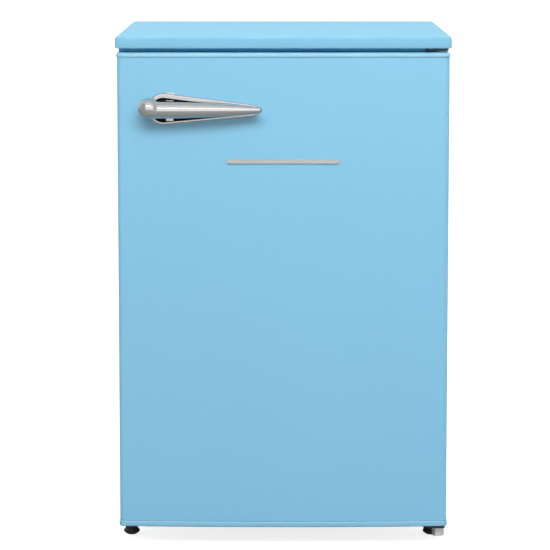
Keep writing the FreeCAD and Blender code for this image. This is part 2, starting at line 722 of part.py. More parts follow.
def door_liner():
    """The white inner face: a flange, a raised rim that reaches into the food space, and a pan."""
    body = new_body("door_liner")
    thick = D.DoorLinerThick
    back = -D.RimBack
    flange_z = (D.DoorFlangeLow, D.DoorFlangeHigh)
    rim_z = (D.RimLow, D.RimHigh)
    wall, wall_z = PAN_HALF + thick, (PAN_LOW - thick, PAN_HIGH + thick)
    core, core_z = RIM_HALF - thick, (D.RimLow + thick, D.RimHigh - thick)
    prism(body, "XZ", (FLANGE_FRONT, DOOR_BACK), rectangle(across(D.DoorFlangeWide), flange_z))
    prism(body, "XZ", (FLANGE_FRONT, back), rectangle((-RIM_HALF, RIM_HALF), rim_z))
    prism(body, "XZ", (-D.PanFront, back), rectangle((-wall, wall), wall_z))
    hollow = (rectangle((-core, core), core_z), rectangle((-wall, wall), wall_z))
    prism(body, "XZ", (FLANGE_FRONT - 1, back - thick), *hollow, cut=True)
    pan_y = (-D.PanFront + thick, back + 1)
    pan = rectangle((-PAN_HALF, PAN_HALF), (PAN_LOW, PAN_HIGH))
    prism(body, "XZ", pan_y, pan, cut=True)
    # ledges for the bins on the side walls of the pan
    ledge, ledge_y = 6, (-D.PanFront + 20, -D.PanFront + 50)
    for low in (D.LowerBinLow, D.MiddleBinLow, D.UpperBinLow):
        for side in (-1, 1):
            span = (PAN_HALF - ledge, PAN_HALF + thick / 2)
            span = span if side > 0 else (-span[1], -span[0])
            block(body, span, ledge_y, (low - ledge, low))


def door_gasket():
    """The magnetic seal: a soft frame with a groove round its outside."""
    body = new_body("door_gasket")
    wide, low, high = D.DoorFlangeWide / 2, D.DoorFlangeLow, D.DoorFlangeHigh
    inner = wide - D.GasketWide
    outer_loop = rectangle((-wide, wide), (low, high))
    inner_loop = rectangle((-inner, inner), (low + D.GasketWide, high - D.GasketWide))
    prism(body, "XZ", (DOOR_BACK, FRONT - D.RunningPlay), outer_loop, inner_loop)
    edge = wide - D.GasketGroove
    bottom, top = low + D.GasketGroove, high - D.GasketGroove
    groove = (rectangle((-wide - 1, wide + 1), (low - 1, high + 1)), rectangle((-edge, edge), (bottom, top)))
    front_lip, back_lip = 3.5, 4
    prism(body, "XZ", (DOOR_BACK + front_lip, FRONT - back_lip), *groove, cut=True)


def door_envelope():
    """A tool in the shape of the door's outside, for what is shaped to sit on it."""
    tool = doc.addObject("PartDesign::Body", "DoorEnvelope")
    prism(tool, "XY", (SKIN_LOW, SKIN_HIGH), crowned(-D.RunningPlay, DOOR_BACK))
    return tool


def teardrop(left_radius, right_radius, front, back, drop=0):
    """A plate with two round ends of different size, joined by tangent sides."""
    left = Vector(-plain(D.BaseLeft), 0, plain(D.BaseLeftHigh) - drop)
    right = Vector(-plain(D.BaseRight), 0, plain(D.BaseRightHigh) - drop)
    apart = (right - left).Length
    tilt = math.atan2(right.z - left.z, right.x - left.x)
    lean = math.acos((left_radius - right_radius) / apart)

    def on(centre, radius, angle):
        return centre + Vector(math.cos(angle), 0, math.sin(angle)) * radius

    upper, lower = tilt + lean, tilt - lean
    edges = [
        Part.LineSegment(on(left, left_radius, lower), on(right, right_radius, lower)).toShape(),
        Part.Arc(on(right, right_radius, lower), on(right, right_radius, tilt),
                 on(right, right_radius, upper)).toShape(),
        Part.LineSegment(on(right, right_radius, upper), on(left, left_radius, upper)).toShape(),
        Part.Arc(on(left, left_radius, upper), on(left, left_radius, tilt + math.pi),
                 on(left, left_radius, lower)).toShape(),
    ]
    face = Part.Face(Part.Wire(edges))
    face.translate(Vector(0, back, 0))
    return face.extrude(Vector(0, front - back, 0))


def handle(envelope):
    """A chrome pull: a tapered lever with a ball end, which two posts hold over a dished base."""
    left, right = plain(D.BaseLeftRadius), plain(D.BaseRightRadius)
    front, rim = -plain(D.BaseFront), plain(D.BaseRim)
    floor = front + plain(D.BaseRecess)
    plate = teardrop(left, right, front, -plain(D.DoorCorner))
    lip = [edge for edge in plate.Edges if abs(edge.CenterOfMass.y - front) < 0.01]
    plate = plate.makeFillet(plain(D.BaseRound), lip)
    plate = plate.cut(teardrop(left - rim, right - rim, front - 1, floor, plain(D.RecessDrop)))
    raw = doc.addObject("Part::Feature", "HandlePlate")
    raw.Shape = plate
    subpart(cut_from(raw, envelope), "handle_base")

    lever = new_body("handle_lever")
    long, big, tip = D.LeverLong, D.LeverRadius, D.LeverTip
    points = [(0, 0), (long, 0), (long - tip, tip), (D.NeckLong, D.NeckRadius), (big, big)]
    turned(lever, points, {1: tip, 2: D.LeverBulge, 4: big}, "XZ", "H_Axis")
    slope = FreeCAD.Rotation(Vector(0, 1, 0), plain(D.LeverSlope))
    place(lever, -D.LeverLeft, -D.LeverFront, D.LeverHigh, slope)

    # a yoke at the round end of the dish, and a stem near the lever's tip
    recess, middle, half = -D.BaseFront + D.BaseRecess, D.BaseLeftHigh - D.RecessDrop, D.YokeHigh / 2
    yoke_x = (-D.BaseLeft + 5, -D.BaseLeft + 17)
    yoke = part_box(yoke_x, (-D.LeverFront + 6, recess), (middle - half, middle + half))
    stem_long, stem_level = D.LeverFront - D.BaseFront + D.BaseRecess, D.BaseRightHigh - 0.5
    stem = cylinder(D.StemRadius, stem_long, -D.StemLeft, recess, stem_level, "-Y")
    subpart(cut_from(join([yoke, stem]), lever), "handle_posts")


def badge_bar(envelope):
    """A plain bar with round ends on the front of the door."""
    half, radius = D.BadgeWide / 2 - D.BadgeHigh / 2, D.BadgeHigh / 2
    level, deep = D.BadgeLevel, D.BadgeFront - D.DoorCorner
    middle = part_box((-half, half), (-D.BadgeFront, -D.DoorCorner), (level - radius, level + radius))
    ends = [cylinder(radius, deep, half * side, -D.BadgeFront, level, "+Y") for side in (-1, 1)]
    subpart(cut_from(join([middle] + ends), envelope), "badge_bar")


def bin_plan(inset):
    """A bin seen from above, with two round corners at the back."""
    half, front = D.BinWide / 2 - inset, -D.PanFront + D.DoorLinerThick + D.Play + inset
    back, radius = -D.BinBack - inset, D.BinCorner - inset
    points = [(-half, front), (half, front), (half, back - radius), (half - radius, back),
              (-half + radius, back), (-half, back - radius)]
    return points, {2: radius, 4: radius}


def door_bin(label, low, high):
    """An open tray that rests on two ledges of the door's liner."""
    body = new_body(label)
    prism(body, "XY", (low, high), bin_plan(size(0)))
    prism(body, "XY", (low + D.BinWall, high + 1), bin_plan(D.BinWall), cut=True)


def egg_tray():
    """A slab with two rows of round cups, lying in the upper bin."""
    body = new_body("egg_tray")
    low, high = D.UpperBinLow + D.BinWall, 24
    pitch, cup_radius, cup_floor = 45, 17, 4
    block(body, (-186, -6), (-230, -148), (low, low + high))
    cups = [(-164 + pitch * i, y) for i in range(4) for y in (-209, -169)]
    holes(body, "XY", (low + cup_floor, low + high + 1), cups, cup_radius)


# ---------------------------------------------------------------- inside the food space


def ice_box():
    """A folded aluminium box hung from the ceiling, open to the front."""
    body = new_body("icebox_shell")
    half, thick = D.IceWide / 2, D.LinerThick
    block(body, (-half, half), (-D.IceFront, D.IceBack), (D.IceLow, D.IceHigh))
    inside = (D.IceLow + thick, D.IceHigh - thick)
    block(body, (-half + thick, half - thick), (-D.IceFront - 1, D.IceBack - thick), inside, cut=True)
    # four hangers
    ceiling, hanger = D.LinerHigh - D.LinerThick, 20
    for x in (-170, 150):
        for y in (-90, 100):
            block(body, (x, x + hanger), (y, y + hanger), (D.IceHigh - thick / 2, ceiling))


def icebox_frame():
    """The white frame round the ice box's mouth, with two ears for the flap's pins."""
    body = new_body("icebox_frame")
    half, front, back = D.FrameWide / 2, -D.IceFront - D.FrameDeep, -D.IceFront
    opening = across(D.FrameOpenWide)
    ceiling = D.LinerHigh - D.LinerThick
    block(body, (-half, half), (front, back), (D.FrameLow, ceiling))
    block(body, opening, (front - 1, back + 1), (D.FrameOpenLow, D.FrameOpenHigh), cut=True)
    ear, ear_thick, ear_reach = D.FlapWide / 2 + 0.5, 6, 5
    axis_y, axis_z = -D.FlapAxisFront, D.FlapAxisHigh
    ear_z = (axis_z - ear_thick, axis_z + ear_thick)
    for side in (-1, 1):
        span = (ear, ear + ear_thick) if side > 0 else (-ear - ear_thick, -ear)
        block(body, span, (axis_y - ear_reach, front + 1), ear_z)
    through = (-ear - ear_thick - 1, ear + ear_thick + 1)
    holes(body, "YZ", through, [(axis_y, axis_z)], D.FlapPinRadius + D.RunningPlay)


def icebox_flap():
    """The ice box's door: a panel with a rolled top edge, two pins and a finger lip."""
    body = new_body("icebox_flap")
    half, thick = D.FlapWide / 2, D.FlapThick
    axis_y, axis_z = -D.FlapAxisFront, D.FlapAxisHigh
    block(body, (-half, half), (axis_y - thick / 2, axis_y + thick / 2), (D.FlapLow, axis_z))
    holes(body, "YZ", (-half, half), [(axis_y, axis_z)], thick / 2, cut=False)
    pin, lip_half, lip_deep = 5, 45, 7
    holes(body, "YZ", (-half - pin, half + pin), [(axis_y, axis_z)], D.FlapPinRadius, cut=False)
    lip = (axis_y - thick / 2 - lip_deep, axis_y - thick / 2 + 1)
    block(body, (-lip_half, lip_half), lip, (D.FlapLow + 2, D.FlapLow + 5))


def shelf_glass(label, level):
    body = new_body(label)
    block(body, across(D.GlassWide), (-D.GlassFront, D.GlassBack), (level, level + D.GlassThick))


def shelf_trims():
    """White front edges clipped over the three sheets of glass."""
    body = new_body("shelf_trims")
    wide, lip = across(D.GlassWide), D.TrimHigh / 2 - D.GlassThick / 2
    front = -D.GlassFront - D.TrimDeep / 2 - 2
    for level in (D.CoverLevel, D.LowerShelfLevel, D.UpperShelfLevel):
        block(body, wide, (front, front + D.TrimDeep), (level - lip, level + D.GlassThick + lip))
    for level in (D.CoverLevel, D.LowerShelfLevel, D.UpperShelfLevel):
        slot = (-D.GlassFront, front + D.TrimDeep + 1)
        span = (-D.GlassWide / 2 - 1, D.GlassWide / 2 + 1)
        block(body, span, slot, (level, level + D.GlassThick), cut=True)


def crisper_drawer():
    """The clear drawer under the lowest glass, with a pull lip and two runners."""
    body = new_body("crisper_drawer")
    half, wall = D.DrawerWide / 2, D.BinWall
    block(body, (-half, half), (-D.DrawerFront, D.DrawerBack), (D.DrawerLow, D.DrawerHigh))
    corner, pull_half, pull_deep, runner, runner_in = 10, 80, 9, 12, 138
    round_edges(body, corner, upright)
    inside_y = (-D.DrawerFront + wall, D.DrawerBack - wall)
    block(body, (-half + wall, half - wall), inside_y, (D.DrawerLow + wall, D.DrawerHigh + 1), cut=True)
    pull_y = (-D.DrawerFront - pull_deep, -D.DrawerFront + 1)
    block(body, (-pull_half, pull_half), pull_y, (D.DrawerHigh - 8, D.DrawerHigh - 4))
    runner_y = (-D.DrawerFront + corner, D.DrawerBack - corner)
    runner_z = (D.LinerLow + D.LinerThick + D.Play, D.DrawerLow + 1)
    for x in (-runner_in - runner, runner_in):
        block(body, (x, x + runner), runner_y, runner_z)


KNOB_Y, KNOB_Z, SPINDLE = -8, 622, 3
HOUSING_X, LAMP_X, CONTROL_ROUND = 204, 188, 6
HOUSING_Y, HOUSING_Z = (-95, 25), (590, 655)
LAMP_Y, LAMP_Z, LAMP_WALL = (-90, -46), (594, 651), 1.5


def thermostat_housing():
    """The control box on the right-hand wall of the food space."""
    body = new_body("thermostat_housing")
    block(body, (HOUSING_X, LINER_IN - D.Play), HOUSING_Y, HOUSING_Z)
    round_edges(body, CONTROL_ROUND, lambda edge: upright(edge) and edge.CenterOfMass.x < HOUSING_X + 0.01)
    spindle_deep = 14
    bore = (HOUSING_X - 1, HOUSING_X + spindle_deep)
    holes(body, "YZ", bore, [(KNOB_Y, KNOB_Z)], SPINDLE + D.RunningPlay)


def lamp():
    """A clear cover open to the control box, with the bulb upright behind it."""
    cover = new_body("lamp_cover")
    block(cover, (LAMP_X, HOUSING_X), LAMP_Y, LAMP_Z)
    round_edges(cover, CONTROL_ROUND, lambda edge: upright(edge) and edge.CenterOfMass.x < LAMP_X + 0.01)
    inside = [(span[0] + LAMP_WALL, span[1] - LAMP_WALL) for span in (LAMP_Y, LAMP_Z)]
    block(cover, (LAMP_X + LAMP_WALL, HOUSING_X + 1), *inside, cut=True)

    bulb = new_body("lamp_bulb")
    neck, glass = 4, 6.5
    turned(bulb, [(0, 0), (neck, 0), (neck, 14), (glass, 22), (0, 22 + glass)], {3: glass})
    place(bulb, HOUSING_X - glass - 0.7, -68, LAMP_Z[0] + 10)


def thermostat_knob():
    """A round dial with a raised grip across it, on a spindle."""
    knob = new_body("thermostat_knob")
    rim, face, high, start = 16, 14.5, 11, 0.4
    turned(knob, [
        (0, -12), (SPINDLE, -12), (SPINDLE, start), (rim, start), (rim, 5), (face, high), (0, high),
    ])
    block(knob, (-2.2, 2.2), (-13, 13), (high - 1, high + 3))
    place(knob, HOUSING_X, KNOB_Y, KNOB_Z, ALONG["-X"])


SWITCH_X, SWITCH_Z, PLUNGER = -210, 776, 3


def door_switch():
    """The lamp's switch at the ceiling: its plunger is pushed in by the door's rim."""
    body = new_body("door_switch_housing")
    ceiling = D.LinerHigh - D.LinerThick - D.Play
    block(body, (-228, -203), (-166, -144), (767, ceiling))
    holes(body, "XZ", (-167, -147), [(SWITCH_X, SWITCH_Z)], PLUNGER + D.RunningPlay)

    plunger = new_body("door_switch_plunger")
    long, point = 16, PLUNGER / 2
    turned(plunger, [(0, 0), (PLUNGER, 0), (PLUNGER, long - 3), (point, long), (0, long)])
    place(plunger, SWITCH_X, -D.RimBack + long + 0.4, SWITCH_Z, ALONG["-Y"])


# ---------------------------------------------------------------- feet


def front_foot(label, x, y, radius):
    """A levelling foot: a tapered pad, a hexagon to turn it by, and a threaded stud."""
    body = new_body(label)
    high, stud = D.FootHigh, D.StudRadius
    sole, shoulder, bevel = radius * 0.6, high * 0.45, 1.5
    profile = [(0, 0), (sole, 0), (radius, shoulder), (radius, high - bevel), (radius - bevel, high),
               (stud, high), (stud, D.StudTop), (0, D.StudTop)]
    turned(body, profile)
    nut, nut_high = radius - 3, 6
    corners = [(nut * math.cos(math.pi * k / 3), nut * math.sin(math.pi * k / 3)) for k in range(6)]
    prism(body, "XY", (high - 1, high + nut_high), corners)
    place(body, x, y, 0)


# ---------------------------------------------------------------- cooling circuit


LEG_SIDES = [(across_x, across_y) for across_x in (-1, 1) for across_y in (-1, 1)]
LEG_PLATE = 3
RUNS, WIRES, WIRE_END = 13, 20, 10
DRYER_Y, DRYER_TOP, DRYER_LONG = 255, 205, 90


def compressor():
    """A welded steel can with a seam flange, on a plate with four feet."""
    body = new_body("compressor")
    radius, top = D.CompressorRadius, D.CompressorTop - D.CompressorLow
    seam, seam_out, seam_thick = top * 0.52, 3.5, 5
    foot_round, crown_round, step = 18, 30, 1
    profile = [
        (0, 0), (radius - foot_round, 0), (radius, foot_round), (radius, seam), (radius + seam_out, seam),
        (radius + seam_out, seam + seam_thick), (radius - step, seam + seam_thick),
        (radius - step, top - crown_round), (radius - step - crown_round, top), (0, top),
    ]
    turned(body, profile, {1: foot_round, 7: crown_round})
    reach_x, reach_y, corner = D.LegX + 11, D.LegY + 10, 8
    block(body, (-reach_x, reach_x), (-reach_y, reach_y), (-LEG_PLATE, 0.5))
    legs = [(D.LegX * a, D.LegY * b) for a, b in LEG_SIDES]
    holes(body, "XY", (-LEG_PLATE - 1, 1), legs, BOLT_HOLE)
    round_edges(body, corner, lambda edge: upright(edge) and abs(edge.CenterOfMass.x) > plain(reach_x) - 1)
    place(body, -D.CompressorX, D.CompressorY, D.CompressorLow)


def compressor_mounts():
    """Four rubber grommets on the carrier, and the bolts through them."""
    feet = [(-D.CompressorX + D.LegX * a, D.CompressorY + D.LegY * b) for a, b in LEG_SIDES]
    floor, plate = D.CabinetLow + D.CarrierThick, D.CompressorLow - LEG_PLATE
    flange, flange_high, neck, under_head = 9, 4, 7, 3.6
    bolt_long, bolt_head, bolt_head_high = plate - D.CabinetLow + 6.5, 6, 4
    grommets, bolts = [], []
    for x, y in feet:
        pad = cylinder(flange, flange_high, x, y, floor)
        stem = cylinder(neck, plate - floor - flange_high, x, y, floor + flange_high)
        grommets.append(cut_from(join([pad, stem]), cylinder(BOLT_HOLE, 30, x, y, floor - 1)))
        bolts += screw(D.BoltRadius, bolt_long, bolt_head, bolt_head_high, x, y, plate + under_head, "+Z")
    subpart(join(grommets), "compressor_grommets")
    subpart(join(bolts), "compressor_bolts")


def terminal_cover():
    """The box over the compressor's terminals and starting relay."""
    cover = new_body("terminal_cover")
    right, corner = 44, 5
    block(cover, (0.5, right), (182, 232), (88, 152))
    round_edges(cover, corner, lambda edge: upright(edge) and edge.CenterOfMass.x > right - 4)


def evaporation_tray():
    """An open tray on the warm compressor, where the defrost water dries away."""
    tray = new_body("evaporation_tray")
    low, high, wall, corner = D.CompressorTop, 24, 2, 12
    tray_x, tray_y = (-142, 2), (140, 272)
    block(tray, tray_x, tray_y, (low, low + high))
    round_edges(tray, corner, upright)
    inside = [(span[0] + wall, span[1] - wall) for span in (tray_x, tray_y)]
    block(tray, *inside, (low + wall, low + high + 1), cut=True)


def condenser_tube():
    """A black serpentine tube behind the back panel, from the compressor bay up and down again."""
    plane, top, pitch = plain(D.CondenserPlane), plain(D.CondenserTop), plain(D.CondenserPitch)
    right, left, riser = plain(D.CondenserRight), plain(D.CondenserLeft), plain(D.RiserX)
    entry_y, entry_z, last_drop, clearance = 240, 150, 65, 0.001
    route = [Vector(-riser, entry_y, entry_z), Vector(-riser, plane, entry_z), Vector(-riser, plane, top)]
    for run in range(RUNS):
        level = top - pitch * run
        ends = (-left, right) if run % 2 == 0 else (right, -left)
        if run:
            route.append(Vector(ends[0], plane, level))
        route.append(Vector(ends[1], plane, level))
    low = top - pitch * (RUNS - 1) - last_drop
    route += [Vector(right, plane, low), Vector(right, DRYER_Y, low), Vector(right, DRYER_Y, DRYER_TOP)]
    # the bends take up all of the pitch but a hair
    drawn("condenser_tube", tube_shape(route, plain(D.CondenserTube), pitch / 2 - clearance))


def condenser_wires():
    """Upright wires welded to both faces of the tube."""
    body = new_body("condenser_wires")
    away = D.CondenserTube + D.WireRadius + D.RunningPlay
    start = -D.CondenserLeft + WIRE_END
    places = [(start, D.CondenserPlane - away), (start, D.CondenserPlane + away)]
    levels = (D.CondenserTop - D.CondenserPitch * (RUNS - 1) - WIRE_END, D.CondenserTop + WIRE_END)
    wires = holes(body, "XY", levels, places, D.WireRadius, cut=False)
    body.Tip = wires
    doc.recompute()
    pattern = body.newObject("PartDesign::LinearPattern", "Wires")
    pattern.Originals = [wires]
    pattern.Direction = (wires.Profile[0], ["H_Axis"])
    bind(pattern, "Length", D.WirePitch * (WIRES - 1))
    pattern.Occurrences = WIRES
    body.Tip = pattern


def condenser_brackets():
    """Four clips between the back panel and the tube, two on the top run and two on the lowest."""
    brackets, wide, half = [], 12.5, 9
    for gap in (2, WIRES - 3):
        x = -D.CondenserLeft + WIRE_END + D.WirePitch * gap + 4
        for run in (0, RUNS - 1):
            level = D.CondenserTop - D.CondenserPitch * run
            arm_y = (BACK_OUT + D.SheetThick, D.CondenserPlane)
            arm = part_box((x, x + wide), arm_y, (level - half, level + half))
            bore = cylinder(D.CondenserTube + D.RunningPlay, wide + 3.5, x - 1, D.CondenserPlane, level, "+X")
            brackets.append(cut_from(arm, bore))
    subpart(join(brackets), "condenser_brackets")


def filter_dryer():
    """A copper cartridge with a neck at each end."""
    dryer = new_body("filter_dryer")
    neck, radius, neck_long, shoulder = 3, 10, 6, 14
    turned(dryer, [
        (0, 0), (neck, 0), (neck, neck_long), (radius, shoulder), (radius, DRYER_LONG - 16),
        (neck, DRYER_LONG - 8), (neck, DRYER_LONG), (0, DRYER_LONG),
    ])
    place(dryer, D.CondenserRight, DRYER_Y, DRYER_TOP - DRYER_LONG)


def piping():
    """The copper tubes of the cooling circuit and the defrost water's drain."""
    right, x, y = plain(D.CondenserRight), -plain(D.CompressorX), plain(D.CompressorY)
    side, panel = x - plain(D.CompressorRadius) - 0.3, plain(BACK_OUT) + 1.1
    gap = 0.2
    # from the compressor to the foot of the condenser
    delivery = [Vector(side, y, 100), Vector(-190, y, 100), Vector(-190, 236, 100),
                Vector(-190, 236, 150), Vector(-232, 236, 150)]
    # from the back panel down to the compressor
    suction = [Vector(x + 40, y + 55, 96), Vector(x + 40, 284, 96), Vector(90, 284, 96),
               Vector(90, 284, 170), Vector(90, 302, 190), Vector(90, 302, 285), Vector(90, panel, 285)]
    # the capillary, from the filter dryer up to the back panel
    fine = [Vector(right, DRYER_Y, DRYER_TOP - DRYER_LONG - gap), Vector(right, DRYER_Y, 92),
            Vector(right, 283, 92), Vector(150, 283, 92), Vector(150, 283, 200),
            Vector(150, 302, 215), Vector(150, 302, 285), Vector(150, panel, 285)]
    tubes = ((delivery, 3, 12), (suction, 3.5, 7), (fine, 1.5, 6))
    shapes = [tube_shape(route, radius, bend) for route, radius, bend in tubes]
    drawn("refrigerant_tubes", Part.makeCompound(shapes))

    drain = [Vector(-100, panel, 287), Vector(-100, 301, 287), Vector(-100, 301, 245),
             Vector(-100, 262, 238), Vector(-100, 262, 220)]
    drain_radius, drain_bend = 4.5, 8
    drawn("drain_tube", tube_shape(drain, drain_radius, drain_bend))


def cord_gland():
    """The rubber grommet where the mains cord would enter the compressor bay."""
    back, front = D.CabinetBack - D.SheetThick, D.CabinetBack - D.SheetThick - D.CarrierThick
    neck, flange, thick = GLAND_RADIUS - D.RunningPlay, GLAND_RADIUS + 3, 3
    bushing = [
        cylinder(neck, D.CarrierThick, GLAND_X, front, GLAND_Z, "+Y"),
        cylinder(flange, thick, GLAND_X, back, GLAND_Z, "+Y"),
        cylinder(flange, thick, GLAND_X, front - thick, GLAND_Z, "+Y"),
    ]
    bore = cylinder(CORD_RADIUS, 12, GLAND_X, front - 5, GLAND_Z, "+Y")
    subpart(cut_from(join(bushing), bore), "cord_gland")


# ---------------------------------------------------------------- assembly

side_panel("side_panel_left", -1)
side_panel("side_panel_right", 1)
top_panel()
back_panel()
front_crossbar()
base_plate()
compressor_carrier()
insulation_foam()
inner_liner()
worktop()
rear_feet()
rear_screws()
upper_hinge()
lower_hinge()
hinge_screws()
hinge_bushes()
door_skin()
door_caps()
door_foam()
door_liner()
door_gasket()
door_shape = door_envelope()
handle(door_shape)
badge_bar(door_shape)
door_bin("door_bin_lower", D.LowerBinLow, D.LowerBinHigh)
door_bin("door_bin_middle", D.MiddleBinLow, D.MiddleBinHigh)
door_bin("door_bin_upper", D.UpperBinLow, D.UpperBinHigh)
egg_tray()
ice_box()
icebox_frame()
icebox_flap()
shelf_glass("crisper_cover", D.CoverLevel)
shelf_glass("shelf_glass_lower", D.LowerShelfLevel)
shelf_glass("shelf_glass_upper", D.UpperShelfLevel)
shelf_trims()
crisper_drawer()
thermostat_housing()
lamp()
thermostat_knob()
door_switch()
front_foot("front_foot_left", -D.LeftFootX, -D.LeftFootY, plain(D.LeftFootRadius))
front_foot("front_foot_right", D.RightFootX, -D.RightFootY, plain(D.RightFootRadius))
compressor()
compressor_mounts()
terminal_cover()
evaporation_tray()
condenser_tube()
condenser_wires()
condenser_brackets()
filter_dryer()
piping()
cord_gland()

# ---------------------------------------------------------------- checks and export

doc.recompute()
faults = []
for thing in doc.Objects:
    owner = thing.getParentGeoFeatureGroup()
    where = "%s of %s" % (thing.Label, owner.Label) if owner else thing.Label
    if "Invalid" in thing.State or "Error" in thing.State:
        faults.append(where + " is not valid")
    elif thing.TypeId == "PartDesign::Pocket":
        before = thing.BaseFeature.Shape.Volume
        if thing.Shape.Volume > before - 0.01:
            faults.append(where + " cuts nothing")
for thing in subparts:
    if thing.Shape.isNull() or not thing.Shape.isValid() or not thing.Shape.Solids:
        faults.append(thing.Label + " has no valid shape")
if faults:
    raise SystemExit("\n".join(faults))
for thing in subparts:
    thing.Shape.exportStep(os.path.join("parts", thing.Label + ".step"))
print(len(subparts), "sub-parts written")
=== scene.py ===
"""Sky-blue table-top refrigerator: materials, detail pieces, floor, light and camera."""
import json
import math

import bmesh
import bpy
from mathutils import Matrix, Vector


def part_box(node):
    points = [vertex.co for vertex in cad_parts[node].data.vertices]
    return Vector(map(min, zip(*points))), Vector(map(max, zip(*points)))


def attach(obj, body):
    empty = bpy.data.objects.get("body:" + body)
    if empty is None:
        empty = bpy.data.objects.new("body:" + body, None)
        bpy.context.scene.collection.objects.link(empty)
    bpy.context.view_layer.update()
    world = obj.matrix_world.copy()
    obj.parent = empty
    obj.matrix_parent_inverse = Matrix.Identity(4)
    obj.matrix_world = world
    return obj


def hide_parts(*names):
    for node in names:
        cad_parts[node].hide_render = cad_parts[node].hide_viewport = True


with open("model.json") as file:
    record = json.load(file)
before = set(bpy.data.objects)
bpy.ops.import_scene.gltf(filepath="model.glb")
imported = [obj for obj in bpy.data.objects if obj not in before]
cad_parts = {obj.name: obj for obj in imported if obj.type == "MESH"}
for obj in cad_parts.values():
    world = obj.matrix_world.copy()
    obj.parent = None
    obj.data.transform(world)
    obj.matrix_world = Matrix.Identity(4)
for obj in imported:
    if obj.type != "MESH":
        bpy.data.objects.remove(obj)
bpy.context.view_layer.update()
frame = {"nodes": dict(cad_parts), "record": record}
nodes = frame["nodes"]
scene = bpy.context.scene
MM = 0.001


# ---------------------------------------------------------------- materials

class Shader:
    """A Principled material with short helpers for the textures that drive it."""

    def __init__(self, name, color, roughness, metallic=0.0, **sockets):
        self.material = bpy.data.materials.new(name)
        self.material.use_nodes = True
        self.tree = self.material.node_tree
        self.surface = self.tree.nodes["Principled BSDF"]
        self.surface.inputs["Base Color"].default_value = (*color, 1.0)
        self.surface.inputs["Roughness"].default_value = roughness
        self.surface.inputs["Metallic"].default_value = metallic
        for socket, value in sockets.items():
            self.surface.inputs[socket.replace("_", " ")].default_value = value
        self.place = self.tree.nodes.new("ShaderNodeTexCoord").outputs["Object"]
        self.normal = None

    def node(self, kind, values=(), **settings):
        made = self.tree.nodes.new(kind)
        for key, value in settings.items():
            setattr(made, key, value)
        for key, value in dict(values).items():
            if isinstance(value, bpy.types.NodeSocket):
                self.tree.links.new(value, made.inputs[key])
            else:
                made.inputs[key].default_value = value
        return made

    def stretched(self, scale):
        """Object coordinates scaled by a different amount along each axis."""
        return self.node("ShaderNodeMapping", {"Vector": self.place, "Scale": scale}).outputs["Vector"]

    def noise(self, scale, detail=3.0, vector=None):
        values = {"Vector": vector or self.place, "Scale": scale, "Detail": detail}
        return self.node("ShaderNodeTexNoise", values).outputs["Fac"]

    def cells(self, scale, output="Distance"):
        values = {"Vector": self.place, "Scale": scale}
        return self.node("ShaderNodeTexVoronoi", values).outputs[output]

    def span(self, value, low, high):
        """A texture's values from 0.3 to 0.7 mapped to low and high; those outside stay at the ends."""
        values = {"Value": value, "From Min": 0.3, "From Max": 0.7, "To Min": low, "To Max": high}
        return self.node("ShaderNodeMapRange", values).outputs["Result"]

    def tint(self, factor, low, high):
        """The base colour runs from low to high with the factor."""
        mix = self.node("ShaderNodeMix", data_type="RGBA")
        self.tree.links.new(factor, mix.inputs[0])
        mix.inputs[6].default_value = (*low, 1.0)
        mix.inputs[7].default_value = (*high, 1.0)
        self.tree.links.new(mix.outputs[2], self.surface.inputs["Base Color"])
        return self

    def shine(self, factor, low, high):
        """The roughness runs from low to high with the factor."""
        self.tree.links.new(self.span(factor, low, high), self.surface.inputs["Roughness"])
        return self

    def bump(self, height, distance, strength=1.0):
        """Adds a bump of that height in metres on top of the ones already there."""
        values = {"Height": height, "Distance": distance, "Strength": strength}
        if self.normal:
            values["Normal"] = self.normal
        self.normal = self.node("ShaderNodeBump", values).outputs["Normal"]
        self.tree.links.new(self.normal, self.surface.inputs["Normal"])
        return self


def shade(color, factor):
    return tuple(min(1.0, part * factor) for part in color)


def painted(name, color, roughness, coat):
    """Enamel or lacquer with a faint orange peel and handling haze. coat is its clear top layer."""
    made = Shader(name, color, roughness, Coat_Weight=coat, Coat_Roughness=0.12)
    made.tint(made.noise(3.0, 2.0), shade(color, 0.985), shade(color, 1.015))
    made.shine(made.noise(9.0, 5.0), roughness - 0.04, roughness + 0.06)
    made.bump(made.noise(420.0, 2.0), 0.00006, 0.35)
    return made.bump(made.noise(2600.0, 1.0), 0.00001, 0.3)


def moulded(name, color, roughness, grain=1500.0, depth=0.00003, coat=0.0):
    """Plastic, rubber or laminate: fine grain, slight cloudiness, a little sheen change."""
    made = Shader(name, color, roughness, Coat_Weight=coat, Coat_Roughness=0.1)
    made.tint(made.noise(2.5, 2.0), shade(color, 0.985), shade(color, 1.012))
    made.shine(made.noise(60.0, 3.0), roughness - 0.03, roughness + 0.04)
    return made.bump(made.noise(grain, 2.0), depth, 0.3)


def see_through(name, color, roughness, ior):
    """Glass or clear plastic with a faint tint, light smudges and a slow waviness."""
    made = Shader(name, color, roughness, Transmission_Weight=1.0, IOR=ior)
    made.tint(made.noise(8.0, 2.0), shade(color, 0.98), color)
    made.shine(made.noise(60.0, 4.0), roughness, roughness + 0.05)
    return made.bump(made.noise(25.0, 2.0), 0.00008, 0.3)


def polished(name, color, roughness, metallic):
    """Satin plating: faint clouding, and polishing lines that show in the sheen."""
    made = Shader(name, color, roughness, metallic)
    made.tint(made.noise(30.0, 4.0), shade(color, 0.95), color)
    lines = made.noise(1.0, 2.0, made.stretched((12.0, 500.0, 500.0)))
    made.shine(lines, roughness - 0.01, roughness + 0.015)
    return made.bump(made.noise(60.0, 1.0), 0.000003, 0.2)


